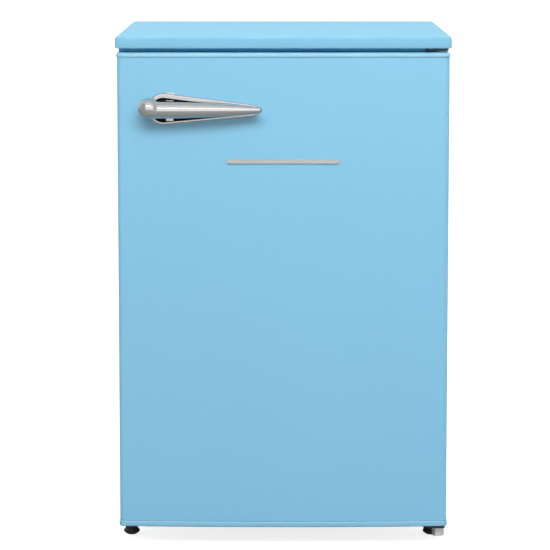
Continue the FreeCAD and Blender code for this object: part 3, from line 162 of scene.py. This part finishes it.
def galvanised(name, color, roughness):
    """Zinc-coated sheet: spangle that differs in shade and sheen, and a fine grain."""
    made = Shader(name, color, roughness, 1.0)
    spangle = made.cells(130.0, "Color")
    split = made.node("ShaderNodeSeparateColor", {"Color": spangle}).outputs[0]
    made.tint(split, shade(color, 0.9), shade(color, 1.06))
    made.shine(split, roughness - 0.04, roughness + 0.06)
    return made.bump(made.noise(900.0, 3.0), 0.00001, 0.4)


BLUE = (0.232, 0.565, 0.785)
BLUE_TRIM = (0.262, 0.600, 0.815)
made = {
    "blue_enamel": painted("blue_enamel", BLUE, 0.34, 0.25),
    "blue_plastic": moulded("blue_plastic", BLUE_TRIM, 0.24, 1900.0, 0.00001, 0.3),
    "white_plastic": moulded("white_plastic", (0.80, 0.83, 0.835), 0.3, 1300.0, 0.00002),
    "clear_plastic": see_through("clear_plastic", (0.93, 0.97, 0.985), 0.06, 1.49),
    "shelf_glass": see_through("shelf_glass", (0.90, 0.97, 0.95), 0.01, 1.52),
    "chrome": polished("chrome", (0.53, 0.525, 0.52), 0.2, 0.74),
    "zinc_steel": galvanised("zinc_steel", (0.60, 0.61, 0.62), 0.42),
    "black_steel": painted("black_steel", (0.02, 0.02, 0.022), 0.42, 0.1),
    "black_plastic": moulded("black_plastic", (0.028, 0.028, 0.03), 0.5, 1200.0, 0.00006),
    "white_rubber": moulded("white_rubber", (0.76, 0.77, 0.76), 0.62, 2200.0, 0.00003),
    "black_rubber": moulded("black_rubber", (0.024, 0.024, 0.024), 0.72, 1800.0, 0.00006),
}

aluminium = Shader("aluminium", (0.78, 0.79, 0.80), 0.36, 1.0)
brushing = aluminium.noise(1.0, 4.0, aluminium.stretched((6.0, 900.0, 900.0)))
aluminium.tint(brushing, (0.70, 0.71, 0.72), (0.84, 0.85, 0.86))
aluminium.shine(brushing, 0.30, 0.46)
aluminium.bump(brushing, 0.00001, 0.4)
made["aluminium"] = aluminium

copper = Shader("copper", (0.72, 0.38, 0.24), 0.3, 1.0)
tarnish = copper.noise(45.0, 6.0)
copper.tint(tarnish, (0.50, 0.24, 0.15), (0.80, 0.44, 0.29))
copper.shine(tarnish, 0.24, 0.48)
copper.bump(copper.noise(700.0, 3.0), 0.00001, 0.4)
made["copper"] = copper

foam = Shader("foam", (0.85, 0.75, 0.5), 0.85)
foam.tint(foam.noise(40.0, 5.0), (0.78, 0.66, 0.40), (0.88, 0.79, 0.55))
foam.bump(foam.cells(900.0), 0.0004, 0.8)
made["foam"] = foam

for part in frame["record"]["subparts"]:
    mesh = nodes[part["node"]].data
    mesh.materials.clear()
    mesh.materials.append(made[part["material_slot"]].material)

cap_gloss = moulded("cap_gloss", shade(BLUE_TRIM, 0.95), 0.2, 1900.0, 0.000005, 1.0)
# the upper hinge bracket gets the cabinet blue darkened to 0.3: painted shade, so the bracket reads dark teal
# inside the gap
made["bracket_shade_enamel"] = painted("bracket_shade_enamel", shade(BLUE, 0.3), 0.5, 0.0)
# the lower hinge nut's plating is near white, brighter than the zinc: partly its plating, partly a painted
# highlight where it sits in the door's shade
made["nut_plating_and_highlight"] = polished("nut_plating_and_highlight", (0.94, 0.93, 0.92), 0.2, 0.4)
nodes["upper_hinge_bracket"].data.materials[0] = made["bracket_shade_enamel"].material
nodes["lower_hinge_pin"].data.materials[0] = made["nut_plating_and_highlight"].material
laminate = moulded("worktop_laminate", shade(BLUE_TRIM, 0.95), 0.5, 900.0, 0.00001)
laminate.surface.inputs["Specular IOR Level"].default_value = 0.06
nodes["worktop"].data.materials[0] = laminate.material


# ---------------------------------------------------------------- shapes

class Shape:
    """Collects surfaces in millimetres and turns them into one piece that rides on a body."""

    def __init__(self):
        self.points = []
        self.faces = []

    def loft(self, rings, looped=False):
        """Joins rings of equally many points. Both ends are closed, or joined to each other when looped."""
        first, count = len(self.points), len(rings[0])
        for ring in rings:
            self.points.extend(ring)
        pairs = [(k, k + 1) for k in range(len(rings) - 1)]
        if looped:
            pairs.append((len(rings) - 1, 0))
        for low, high in pairs:
            for i in range(count):
                j = (i + 1) % count
                self.faces.append(tuple(first + count * ring + k
                                        for ring, k in ((low, i), (low, j), (high, j), (high, i))))
        if not looped:
            self.faces.append(tuple(range(first + count - 1, first - 1, -1)))
            last = first + count * (len(rings) - 1)
            self.faces.append(tuple(range(last, last + count)))
        return self

    def polygons(self, points, faces):
        first = len(self.points)
        self.points.extend(points)
        self.faces.extend(tuple(first + k for k in face) for face in faces)
        return self

    def piece(self, name, body, slot, replaced=(), sharp=35.0, material=None):
        mesh = bpy.data.meshes.new(name)
        mesh.from_pydata([Vector(point) * MM for point in self.points], [], self.faces)
        work = bmesh.new()
        work.from_mesh(mesh)
        bmesh.ops.recalc_face_normals(work, faces=work.faces)
        work.to_mesh(mesh)
        work.free()
        mesh.materials.append((material or made[slot]).material)
        mesh.shade_smooth()
        mesh.set_sharp_from_angle(angle=math.radians(sharp))
        thing = bpy.data.objects.new(name, mesh)
        scene.collection.objects.link(thing)
        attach(thing, body)
        if replaced:
            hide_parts(*replaced)
        return thing


def span_mm(node):
    """A CAD node's box at rest, as its low and high corners in millimetres."""
    low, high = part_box(node)
    return low / MM, high / MM


def arc(centre, radius, start, end, steps):
    """Points on an arc between two angles in degrees."""
    angles = [math.radians(start + (end - start) * k / steps) for k in range(steps + 1)]
    return [(centre[0] + radius * math.cos(a), centre[1] + radius * math.sin(a)) for a in angles]


def rounded_rectangle(u, v, radius, steps=6):
    """A closed outline, counter-clockwise, with round corners."""
    radius = max(radius, 0.05)
    corners = ((u[1] - radius, v[0] + radius, -90), (u[1] - radius, v[1] - radius, 0),
               (u[0] + radius, v[1] - radius, 90), (u[0] + radius, v[0] + radius, 180))
    outline = []
    for x, y, start in corners:
        outline.extend(arc((x, y), radius, start, start + 90, steps))
    return outline


def inset_spans(u, v, inset):
    return (u[0] + inset, u[1] - inset), (v[0] + inset, v[1] - inset)


def edge_round(radius, low, high, steps=5):
    """The (inset, level) steps of a slab whose two rims are rounded."""
    under = [(radius - radius * math.sin(t), low + radius - radius * math.cos(t))
             for t in [math.pi / 2 * k / steps for k in range(steps + 1)]]
    over = [(inset, low + high - level) for inset, level in reversed(under)]
    return under + over


def slab(shape, u, v, w, corner, edge, put, steps=5):
    """A block with round corners seen along its thickness w, and rounded rims. put gives x, y and z."""
    rings = []
    for inset, level in edge_round(edge, *w):
        outline = rounded_rectangle(*inset_spans(u, v, inset), corner - inset, steps)
        rings.append([put(a, b, level) for a, b in outline])
    return shape.loft(rings)


def facing(a, b, level):
    """Outlines drawn in x and z, stacked along y."""
    return (a, level, b)


def sideways(a, b, level):
    """Outlines drawn in y and z, stacked along x."""
    return (level, a, b)


LEDGE_HIGH, LEDGE_CLEAR = 6.0, 0.05


def ledges(shape, names, across, along, corner, edge, steps):
    """A ledge on the left and one on the right under each named CAD node, at across in x and along in y."""
    for name in names:
        shelf = span_mm(name)[0].z
        for side in (-1, 1):
            heights = (shelf - LEDGE_HIGH, shelf - LEDGE_CLEAR)
            widths = sorted((side * across[0], side * across[1]))
            slab(shape, along, heights, widths, corner, edge, sideways, steps)


def soften(width, *names):
    """Rounds the folded and moulded edges of CAD nodes by a width in millimetres."""
    for name in names:
        thing = nodes[name]
        weld = thing.modifiers.new("Weld", "WELD")
        weld.merge_threshold = 0.01 * MM
        flatten = thing.modifiers.new("Flatten", "DECIMATE")
        flatten.decimate_type = "DISSOLVE"
        flatten.angle_limit = math.radians(0.5)
        rounding = thing.modifiers.new("Rounding", "BEVEL")
        rounding.width = width * MM
        rounding.segments = 3
        rounding.limit_method = "ANGLE"
        rounding.angle_limit = math.radians(40.0)
        rounding.use_clamp_overlap = True
        even = thing.modifiers.new("Even", "WEIGHTED_NORMAL")
        even.keep_sharp = True


# ---------------------------------------------------------------- edges of the carried-over pieces

DOOR_BINS = ("door_bin_lower", "door_bin_middle", "door_bin_upper")
GLASSES = ("crisper_cover", "shelf_glass_lower", "shelf_glass_upper")
soften(0.9, "shelf_trims", "crisper_drawer", *DOOR_BINS, "icebox_frame")
soften(1.1, "icebox_flap", "thermostat_housing", "lamp_cover", "egg_tray")
soften(1.1, "door_switch_housing", "thermostat_knob")
soften(0.6, *GLASSES, "side_panel_left", "side_panel_right")
soften(0.5, "front_crossbar", "base_plate", "compressor_carrier", "back_panel", "top_panel", "icebox_shell")
soften(0.8, "upper_hinge_bracket", "lower_hinge_bracket", "condenser_brackets")
soften(0.8, "evaporation_tray", "terminal_cover")


# ---------------------------------------------------------------- worktop and door

low, high = span_mm("worktop")
NOSE, TOP_CORNER, UNDER_EDGE, UNDER_MIDDLE = 4.5, 9.0, 1.0, 0.3
slab_steps = [(UNDER_EDGE, low.z), (UNDER_MIDDLE, low.z + UNDER_MIDDLE), (0.0, low.z + UNDER_EDGE)]
slab_steps += [(NOSE - NOSE * math.cos(t), high.z - NOSE + NOSE * math.sin(t))
               for t in [math.pi / 2 * k / 10 for k in range(11)]]
rings = []
for inset, level in slab_steps:
    outline = rounded_rectangle(*inset_spans((low.x, high.x), (low.y, high.y), inset), TOP_CORNER - inset, 10)
    rings.append([(x, y, level) for x, y in outline])
Shape().loft(rings).piece("worktop_slab", "cabinet", "blue_plastic", ["worktop"], material=laminate)

# the strip under the worktop's nose that hides what lies behind it, up to the hinge plate; its over-saturated
# blue without sheen is painted shade, so the shaded gap reads dark teal
gap_shade_blue = moulded("gap_shade_blue", (0.20, 0.70, 0.98), 0.6, 900.0, 0.00001)
gap_shade_blue.surface.inputs["Specular IOR Level"].default_value = 0.0
hinge_low = span_mm("upper_hinge_bracket")[0]
door_top = span_mm("door_top_cap")[1].z
STRIP_SETBACK, STRIP_THICK, STRIP_CLEAR = 20.0, 4.0, 1.0
STRIP_INSET, STRIP_GAP, STRIP_TUCK = 6.0, 2.0, 0.2
STRIP_CORNER, STRIP_EDGE = 0.6, 0.5
strip_y = low.y + STRIP_SETBACK
strip_x = (low.x + STRIP_INSET, hinge_low.x - STRIP_GAP)
strip_z = (door_top + STRIP_CLEAR, low.z + STRIP_TUCK)
strip = slab(Shape(), strip_x, strip_z, (strip_y, strip_y + STRIP_THICK), STRIP_CORNER, STRIP_EDGE, facing)
strip.piece("worktop_strip", "cabinet", "blue_plastic", material=gap_shade_blue)

# a plate over the open corner by the left foot, between the side panel and the crossbar's channel
rail_low, rail_high = span_mm("front_crossbar")
CHANNEL_END, CHANNEL_SHEET, PLATE_THICK, PLATE_CLEAR = 246.0, 1.0, 1.0, 0.3
PLATE_CORNER, PLATE_EDGE = 0.8, 0.3
plate_x = (rail_low.x + PLATE_CLEAR, -CHANNEL_END - PLATE_CLEAR)
plate_z = (rail_low.z + CHANNEL_SHEET + PLATE_CLEAR, rail_high.z - PLATE_CLEAR)
plate_y = (rail_low.y + PLATE_CLEAR, rail_low.y + PLATE_CLEAR + PLATE_THICK)
plate = slab(Shape(), plate_x, plate_z, plate_y, PLATE_CORNER, PLATE_EDGE, facing)
plate.piece("corner_plate", "cabinet", "blue_enamel")

# the door's front: bowed over its width, with round corners into its sides
DOOR_EDGE, DOOR_CROWN = 7.0, 4057.0
skin_low, skin_high = span_mm("door_skin")
DOOR_HALF = skin_high.x
DOOR_BACK = skin_high.y
CORNER_X = DOOR_HALF - DOOR_EDGE
CROWN_RISE = DOOR_CROWN - math.sqrt(DOOR_CROWN ** 2 - CORNER_X ** 2)
CORNER_Y = skin_low.y + CROWN_RISE


def door_front(proud, steps=72):
    """The door's front seen from above, left side to right side: corner, bowed front, corner."""
    radius = DOOR_EDGE + proud
    centre_y = CORNER_Y + DOOR_EDGE
    left = arc((-CORNER_X, centre_y), radius, 180, 270, 8)
    right = arc((CORNER_X, centre_y), radius, 270, 360, 8)
    reach = math.degrees(math.asin(CORNER_X / DOOR_CROWN))
    middle = (0.0, skin_low.y + DOOR_CROWN)
    crown = arc(middle, DOOR_CROWN + proud, 270 - reach, 270 + reach, steps)
    return left + crown[1:-1] + right


def door_plan(proud):
    """The door's front, closed along its flat back."""
    outline = door_front(proud)
    return outline + [(outline[-1][0], DOOR_BACK), (outline[0][0], DOOR_BACK)]


# the folded sheet: round the front and the sides, with a narrow return behind
SHEET, FOLD_EDGE, FOLD_INSIDE = 1.0, 1.2, 0.4
RETURN_TO = 252.1
outer = door_front(0.0)
inner = door_front(-SHEET)
fold_back = [(DOOR_HALF, DOOR_BACK - FOLD_EDGE), (DOOR_HALF - FOLD_EDGE, DOOR_BACK), (RETURN_TO, DOOR_BACK),
             (RETURN_TO, DOOR_BACK - SHEET), (DOOR_HALF - SHEET - FOLD_INSIDE, DOOR_BACK - SHEET),
             (DOOR_HALF - SHEET, DOOR_BACK - SHEET - FOLD_INSIDE)]
outline = outer + fold_back + inner[::-1] + [(-x, y) for x, y in reversed(fold_back)]
rings = [[(x, y, level) for x, y in outline] for level in (skin_low.z, skin_high.z)]
Shape().loft(rings).piece("door_shell", "door", "blue_enamel", ["door_skin"])

CAP_PROUD = 1.2
SEAM_DEEP, SEAM_HIGH = 1.6, 0.55


def door_cap(name, node, seam, rim, edge, seam_edge):
    """A moulded end cap from the seam beside the skin to its rounded outer rim."""
    way = 1 if rim > seam else -1
    steps = [(-SEAM_DEEP, 0.0), (-SEAM_DEEP, SEAM_HIGH)]
    steps += [(CAP_PROUD - seam_edge + seam_edge * math.sin(t),
               SEAM_HIGH + seam_edge - seam_edge * math.cos(t))
              for t in [math.pi / 2 * k / 4 for k in range(5)]]
    high = abs(rim - seam)
    steps += [(CAP_PROUD - edge + edge * math.cos(t), high - edge + edge * math.sin(t))
              for t in [math.pi / 2 * k / 8 for k in range(9)]]
    rings = [[(x, y, seam + way * level) for x, y in door_plan(proud)] for proud, level in steps]
    Shape().loft(rings).piece(name, "door", "blue_plastic", [node], material=cap_gloss)


door_foot = span_mm("door_bottom_cap")[0].z
door_cap("door_top_trim", "door_top_cap", skin_high.z, door_top, edge=4.5, seam_edge=0.6)
door_cap("door_bottom_trim", "door_bottom_cap", skin_low.z, door_foot, edge=2.4, seam_edge=1.4)

# a near-black sheet in the handle's dish, painted shade and dark reflection for its recess, and the small tab
# over its rim
DISH_LEFT, DISH_RIGHT = (-194.0, 723.6, 25.6), (-50.0, 721.0, 9.7)
DISH_FLOOR, DISH_DEEP, DISH_DROP, DISH_RIM = -277.0, 4.2, 1.5, 5.5
DISH_EDGE = DISH_FLOOR - DISH_DEEP
# the dark sheet's (inset, y) rings: up its outer side, over its edge, down inside and in to its floor
DISH_SHADE_PROFILE = ((0.1, DISH_FLOOR), (0.1, DISH_EDGE), (0.3, DISH_EDGE - 0.3), (0.6, DISH_EDGE),
                 (0.6, DISH_FLOOR - 1.6), (1.2, DISH_FLOOR - 1.0))


def teardrop(shrink, steps=28):
    """The handle's base seen from the front: two round ends joined by tangents."""
    (x0, z0, r0), (x1, z1, r1) = DISH_LEFT, DISH_RIGHT
    tilt = math.degrees(math.atan2(z1 - z0, x1 - x0))
    lean = math.degrees(math.acos((r0 - r1) / math.hypot(x1 - x0, z1 - z0)))
    right = arc((x1, z1), r1 - shrink, tilt - lean, tilt + lean, steps)
    left = arc((x0, z0), r0 - shrink, tilt + lean, tilt + 360 - lean, steps)
    return right + left


# near black with almost no sheen: painted shade and dark reflection in the dish
dish_shade_black = painted("dish_shade_black", (0.006, 0.006, 0.007), 0.5, 0.0)
dish_shade_black.surface.inputs["Specular IOR Level"].default_value = 0.1
rings = [[(x, y, z - DISH_DROP) for x, z in teardrop(DISH_RIM + inset)] for inset, y in DISH_SHADE_PROFILE]
Shape().loft(rings).piece("handle_dish_shade", "door", "black_plastic", material=dish_shade_black)
tab = moulded("handle_tab", (0.62, 0.58, 0.54), 0.35)
TAB_X, TAB_Z, TAB_Y = (-189.5, -175.0), (742.0, 750.4), (-280.0, -274.5)
TAB_CORNER, TAB_EDGE = 4.0, 1.2
tab_block = slab(Shape(), TAB_X, TAB_Z, TAB_Y, TAB_CORNER, TAB_EDGE, facing)
tab_block.piece("handle_tab", "door", "white_plastic", material=tab)

# the lever: a ball end that runs into a lower, thinner shaft with a round tip
BALL, NECK, TIP, SHAFT_DROP, TAPER = 16.6, 13.5, 5.3, 2.8, 2.2
TOP_BLEND, UNDER_BLEND, THINNEST = 6.0, 0.8, 0.02
lever_low, lever_high = span_mm("handle_lever")
ball_x, tip_x = lever_low.x + BALL, lever_high.x - TIP
ball_z = lever_high.z - BALL
lever_y = lever_low.y + BALL


def smooth_high(a, b, blend):
    """The higher of two levels, with a soft step where they cross."""
    reach = max(blend - abs(a - b), 0.0) / blend
    return max(a, b) + reach * reach * blend / 4


def lever_radius(x):
    """The shaft's radius between the ball and the tip, and round beyond it."""
    if x > tip_x:
        return math.sqrt(max(TIP ** 2 - (x - tip_x) ** 2, 0.0))
    along = max(x - ball_x, 0.0) / (tip_x - ball_x)
    return NECK - (NECK - TIP) * along ** TAPER


def lever_ring(x, steps=40):
    """One round section of the lever: the ball up to its middle, then the ball blended with the shaft."""
    ball = math.sqrt(max(BALL ** 2 - (x - ball_x) ** 2, 0.0))
    shaft = lever_radius(x) if x > ball_x else 0.0
    top = smooth_high(ball_z + ball, ball_z - SHAFT_DROP + shaft, TOP_BLEND)
    under = -smooth_high(-ball_z + ball, -ball_z + SHAFT_DROP + shaft, UNDER_BLEND)
    if x > ball_x + BALL:
        top, under = ball_z - SHAFT_DROP + shaft, ball_z - SHAFT_DROP - shaft
    middle, radius = (top + under) / 2, max((top - under) / 2, THINNEST)
    if x < ball_x:
        middle, radius = ball_z, max(ball, THINNEST)
    angles = [math.tau * k / steps for k in range(steps)]
    return [(x, lever_y + radius * math.cos(a), middle + radius * math.sin(a)) for a in angles]


# the sections stand round the ball, past its shoulder, along the shaft and round the tip
stations = [ball_x - BALL * math.cos(math.radians(6 * k)) for k in range(16)]
stations += [ball_x + 1.0 + k for k in range(1, 24)]
shaft_from = stations[-1]
stations += [shaft_from + (tip_x - shaft_from) * k / 30 for k in range(1, 31)]
stations += [tip_x + TIP * math.sin(math.radians(9 * k)) for k in range(1, 11)]
lever = Shape().loft([lever_ring(x) for x in stations])
lever.piece("handle_pull", "door", "chrome", ["handle_lever"], sharp=60.0)

# the magnetic seal: a hollow bellows bulb round the door's inner face
seal_low, seal_high = span_mm("door_gasket")
SEAL_CORNER = 2.0
SEAL_PROFILE = (
    (0.4, 0.0), (0.4, 2.4), (1.4, 3.2), (3.6, 3.7), (4.2, 4.8), (3.6, 5.9), (1.2, 6.6),
    (0.3, 7.8), (0.3, 10.6), (1.3, 11.9), (16.6, 11.9), (17.7, 10.9), (17.7, 8.4), (16.4, 7.2),
    (14.2, 6.4), (13.6, 5.2), (14.2, 4.0), (16.8, 3.2), (17.4, 2.2), (17.4, 0.0),
)
rings = []
for inset, deep in SEAL_PROFILE:
    spans = inset_spans((seal_low.x, seal_high.x), (seal_low.z, seal_high.z), inset)
    rings.append([(x, seal_low.y + deep, z) for x, z in rounded_rectangle(*spans, SEAL_CORNER, 3)])
Shape().loft(rings, looped=True).piece("door_seal", "door", "white_rubber", ["door_gasket"])

# the door's inner face: a flange, a raised rim and a pan for the bins
pan_low, pan_high = span_mm("door_liner")
RIM_X, RIM_Z = (-215.0, 215.0), (106.0, 784.0)
RIM_THICK, RIM_EDGE, PAN_EDGE = 13.0, 3.0, 6.0
RIM_CORNER, PAN_CORNER, LINING = 4.5, 4.0, 1.3
PAN_FLOOR = -236.5
FLANGE = pan_low.y + 26.5
RIM_TOP = pan_high.y
FLANGE_CORNER = 3.0
flange_wide = RIM_X[0] - pan_low.x
steps = [(flange_wide - 1.0, FLANGE - 1.5, FLANGE_CORNER), (flange_wide, FLANGE, FLANGE_CORNER)]
steps += [(outward, FLANGE + rise, RIM_CORNER + outward)
          for outward, rise in ((4.0, 0.0), (1.4, 0.8), (0.3, 3.2))]
rings = []


def pan_ring(inset, level, corner):
    """Adds the rim's outline, set in by inset, at a level along y."""
    spans = inset_spans(RIM_X, RIM_Z, inset)
    rings.append([(x, level, z) for x, z in rounded_rectangle(*spans, corner, 8)])


# its back side first, from under the pan's floor, up inside the rim and out to the flange's edge
for inset, level in ((RIM_THICK + PAN_EDGE, PAN_FLOOR - LINING), (RIM_THICK - LINING, PAN_FLOOR + PAN_EDGE),
                     (RIM_THICK - LINING, RIM_TOP - RIM_EDGE), (RIM_THICK - RIM_EDGE, RIM_TOP - LINING),
                     (RIM_EDGE, RIM_TOP - LINING), (LINING, RIM_TOP - RIM_EDGE), (LINING, FLANGE - LINING)):
    pan_ring(inset, level, PAN_CORNER)
for outward, level, corner in steps:
    pan_ring(-outward, level, corner)
for t in [math.pi / 2 * k / 5 for k in range(6)]:
    pan_ring(RIM_EDGE - RIM_EDGE * math.cos(t), RIM_TOP - RIM_EDGE + RIM_EDGE * math.sin(t), RIM_CORNER)
for t in [math.pi / 2 * k / 5 for k in range(6)]:
    pan_ring(RIM_THICK - RIM_EDGE + RIM_EDGE * math.sin(t), RIM_TOP - RIM_EDGE + RIM_EDGE * math.cos(t),
             PAN_CORNER)
for t in [math.pi / 2 * k / 6 for k in range(7)]:
    pan_ring(RIM_THICK + PAN_EDGE - PAN_EDGE * math.cos(t), PAN_FLOOR + PAN_EDGE - PAN_EDGE * math.sin(t),
             PAN_CORNER + PAN_EDGE * 0.5)
pan = Shape().loft(rings)
ledges(pan, DOOR_BINS, across=(195.8, 203.0), along=(-218.5, -187.5), corner=2.0, edge=0.9, steps=3)
pan.piece("door_inner_face", "door", "white_plastic", ["door_liner"])

# ---------------------------------------------------------------- food space

liner_low, liner_high = span_mm("inner_liner")
LINER_X, LINER_FLOOR, LINER_TOP, LINER_BACK = 230.5, 97.5, 793.5, 248.5
STEP_FRONT, STEP_TOP = 96.5, 297.5
LINER_ROUND, RIM_SHARE, LINER_SHEET = 12.0, 0.25, 1.4
LINER_SIDE = ((liner_low.y, LINER_FLOOR), (STEP_FRONT, LINER_FLOOR), (STEP_FRONT, STEP_TOP),
              (LINER_BACK, STEP_TOP), (LINER_BACK, LINER_TOP), (liner_low.y, LINER_TOP))
points = [(side * LINER_X, y, z) for side in (-1, 1) for y, z in LINER_SIDE]
points += [(x, liner_low.y, z) for x, z in ((liner_low.x, liner_low.z), (liner_high.x, liner_low.z),
                                           (liner_high.x, liner_high.z), (liner_low.x, liner_high.z))]
walls = [(0, 1, 2, 3, 4, 5), (11, 10, 9, 8, 7, 6)] + [(k, k + 6, k + 7, k + 1) for k in range(5)]
flange = [(12, 13, 6, 0), (13, 14, 11, 6), (14, 15, 5, 11), (15, 12, 0, 5)]
liner = Shape().polygons(points, walls + flange).piece(
    "cabinet_liner", "cabinet", "white_plastic", ["inner_liner"], sharp=180.0)
weights = liner.data.attributes.new("bevel_weight_edge", "FLOAT", "EDGE")
FRONT_RIM = ({0, 6}, {6, 11}, {11, 5}, {5, 0})
for edge in liner.data.edges:
    ends = set(edge.vertices)
    if ends in FRONT_RIM:
        weights.data[edge.index].value = RIM_SHARE
    elif max(ends) < 2 * len(LINER_SIDE):
        weights.data[edge.index].value = 1.0
rounding = liner.modifiers.new("Rounding", "BEVEL")
rounding.limit_method = "WEIGHT"
rounding.width = LINER_ROUND * MM
rounding.segments = 6
thickness = liner.modifiers.new("Thickness", "SOLIDIFY")
thickness.thickness = LINER_SHEET * MM
thickness.offset = -1.0

ribs = Shape()
ledges(ribs, GLASSES, across=(218.5, 231.5), along=(-104.0, 236.0), corner=2.5, edge=1.2, steps=4)
ribs.piece("shelf_ribs", "cabinet", "white_plastic")


# ---------------------------------------------------------------- stage, light and camera

def flat_sheet(name, corners, paint):
    """One flat stage surface."""
    mesh = bpy.data.meshes.new(name)
    mesh.from_pydata(corners, [], [(0, 1, 2, 3)])
    mesh.materials.append(paint)
    sheet = bpy.data.objects.new(name, mesh)
    scene.collection.objects.link(sheet)
    return sheet


def plain_floor(reach, name, level, albedo, emission):
    """A flat floor all round the object."""
    paint = Shader(name, (albedo, albedo, albedo), 0.7, Specular_IOR_Level=0.1)
    paint.bump(paint.noise(300.0), 0.00005, 0.3)
    paint.surface.inputs["Emission Color"].default_value = (1.0, 1.0, 1.0, 1.0)
    paint.surface.inputs["Emission Strength"].default_value = emission
    corners = [(-reach, -reach, level), (reach, -reach, level), (reach, reach, level), (-reach, reach, level)]
    return flat_sheet(name, corners, paint.material)


def glow(name, strength):
    """A plain glowing surface."""
    shader = Shader(name, (0.0, 0.0, 0.0), 1.0, Specular_IOR_Level=0.0)
    shader.surface.inputs["Emission Color"].default_value = (1.0, 1.0, 1.0, 1.0)
    shader.surface.inputs["Emission Strength"].default_value = strength
    return shader.material


def reflection_card(name, corners, strength):
    """A studio card that shows only in glossy surfaces."""
    card = flat_sheet(name, corners, glow(name, strength))
    card.visible_camera = False
    card.visible_diffuse = False
    card.visible_shadow = False
    card.visible_transmission = False


def backdrop(radius, high, strength, steps=48):
    """A white wall all round, for the eye only: it neither lights the object nor is mirrored in it."""
    rings = [[(radius * math.cos(math.tau * k / steps), radius * math.sin(math.tau * k / steps), level)
              for k in range(steps)] for level in (-0.5, high)]
    mesh = bpy.data.meshes.new("backdrop")
    faces = [(k, (k + 1) % steps, steps + (k + 1) % steps, steps + k) for k in range(steps)]
    mesh.from_pydata(rings[0] + rings[1], [], faces)
    mesh.materials.append(glow("backdrop", strength))
    wall = bpy.data.objects.new("backdrop", mesh)
    scene.collection.objects.link(wall)
    wall.visible_diffuse = False
    wall.visible_glossy = False
    wall.visible_shadow = False


# the eye sees a white floor, and the object is lit by a greyer one just under it
FLOOR_REACH = 30.0
white_floor = plain_floor(FLOOR_REACH, "floor", level=0.0, albedo=0.5, emission=0.82)
white_floor.visible_diffuse = False
white_floor.visible_glossy = False
white_floor.visible_shadow = False
grey_floor = plain_floor(FLOOR_REACH, "under_floor", level=-0.001, albedo=0.28, emission=0.0)
grey_floor.visible_camera = False
backdrop(radius=28.0, high=30.0, strength=1.0)
reflection_card("wide_card", [(-2.8, -5.6, 0.1), (2.8, -5.6, 0.1), (2.8, -5.6, 2.4), (-2.8, -5.6, 2.4)], 1.6)
reflection_card("high_card", [(-2.4, -4.6, 2.5), (2.4, -4.6, 2.5), (2.4, -3.3, 3.6), (-2.4, -3.3, 3.6)], 2.3)
reflection_card("over_card", [(-2.4, -3.2, 3.7), (2.4, -3.2, 3.7), (2.4, -0.6, 4.3), (-2.4, -0.6, 4.3)], 1.0)


def area_light(name, place, target, size, watts):
    """A soft lamp that faces its target and isn't mirrored in glossy surfaces."""
    lamp = bpy.data.lights.new(name, "AREA")
    lamp.shape = "RECTANGLE"
    lamp.size, lamp.size_y = size
    lamp.energy = watts
    holder = bpy.data.objects.new(name, lamp)
    holder.visible_glossy = False
    scene.collection.objects.link(holder)
    holder.location = place
    holder.rotation_euler = (Vector(target) - Vector(place)).to_track_quat("-Z", "Y").to_euler()


area_light("key", (0.1, -3.6, 3.0), (0.0, 0.0, 0.6), (3.0, 1.3), 126.0)
area_light("fill", (2.8, -3.0, 1.5), (0.0, 0.0, 0.4), (0.8, 2.0), 14.0)
area_light("back", (-2.2, 4.0, 2.2), (0.0, 0.0, 0.4), (2.4, 1.6), 42.0)
area_light("right", (4.4, 0.3, 1.8), (0.0, 0.0, 0.4), (1.6, 1.6), 30.0)
area_light("left", (-4.4, 0.3, 1.8), (0.0, 0.0, 0.4), (1.6, 1.6), 30.0)
area_light("top", (0.0, 0.2, 3.4), (0.0, 0.0, 0.8), (2.4, 1.6), 9.0)


def studio_world(front, back):
    """A soft light all round, stronger from behind the object than from in front."""
    world = bpy.data.worlds.new("studio")
    world.use_nodes = True
    tree = world.node_tree
    background = tree.nodes["Background"]
    background.inputs["Color"].default_value = (1.0, 1.0, 1.0, 1.0)
    split = tree.nodes.new("ShaderNodeSeparateXYZ")
    tree.links.new(tree.nodes.new("ShaderNodeTexCoord").outputs["Generated"], split.inputs[0])
    blend = tree.nodes.new("ShaderNodeMapRange")
    blend.interpolation_type = "SMOOTHSTEP"
    for socket, number in {"From Min": -0.1, "From Max": 0.5, "To Min": front, "To Max": back}.items():
        blend.inputs[socket].default_value = number
    tree.links.new(split.outputs["Y"], blend.inputs["Value"])
    tree.links.new(blend.outputs["Result"], background.inputs["Strength"])
    return world


scene.world = studio_world(0.42, 0.9)
scene.view_settings.view_transform = "Standard"

CAMERA_PLACE, CAMERA_LENS, CAMERA_SENSOR = (-0.0016, -4.87, 1.0645), 186.2, 36.0
LOOKS_DOWN, LOOKS_LEFT = 7.584, 0.147
camera = bpy.data.objects.new("camera", bpy.data.cameras.new("camera"))
scene.collection.objects.link(camera)
camera.location = CAMERA_PLACE
camera.rotation_euler = (math.radians(90.0 - LOOKS_DOWN), 0.0, math.radians(LOOKS_LEFT))
camera.data.lens = CAMERA_LENS
camera.data.sensor_width = CAMERA_SENSOR
camera.data.clip_end = 60.0
scene.camera = camera
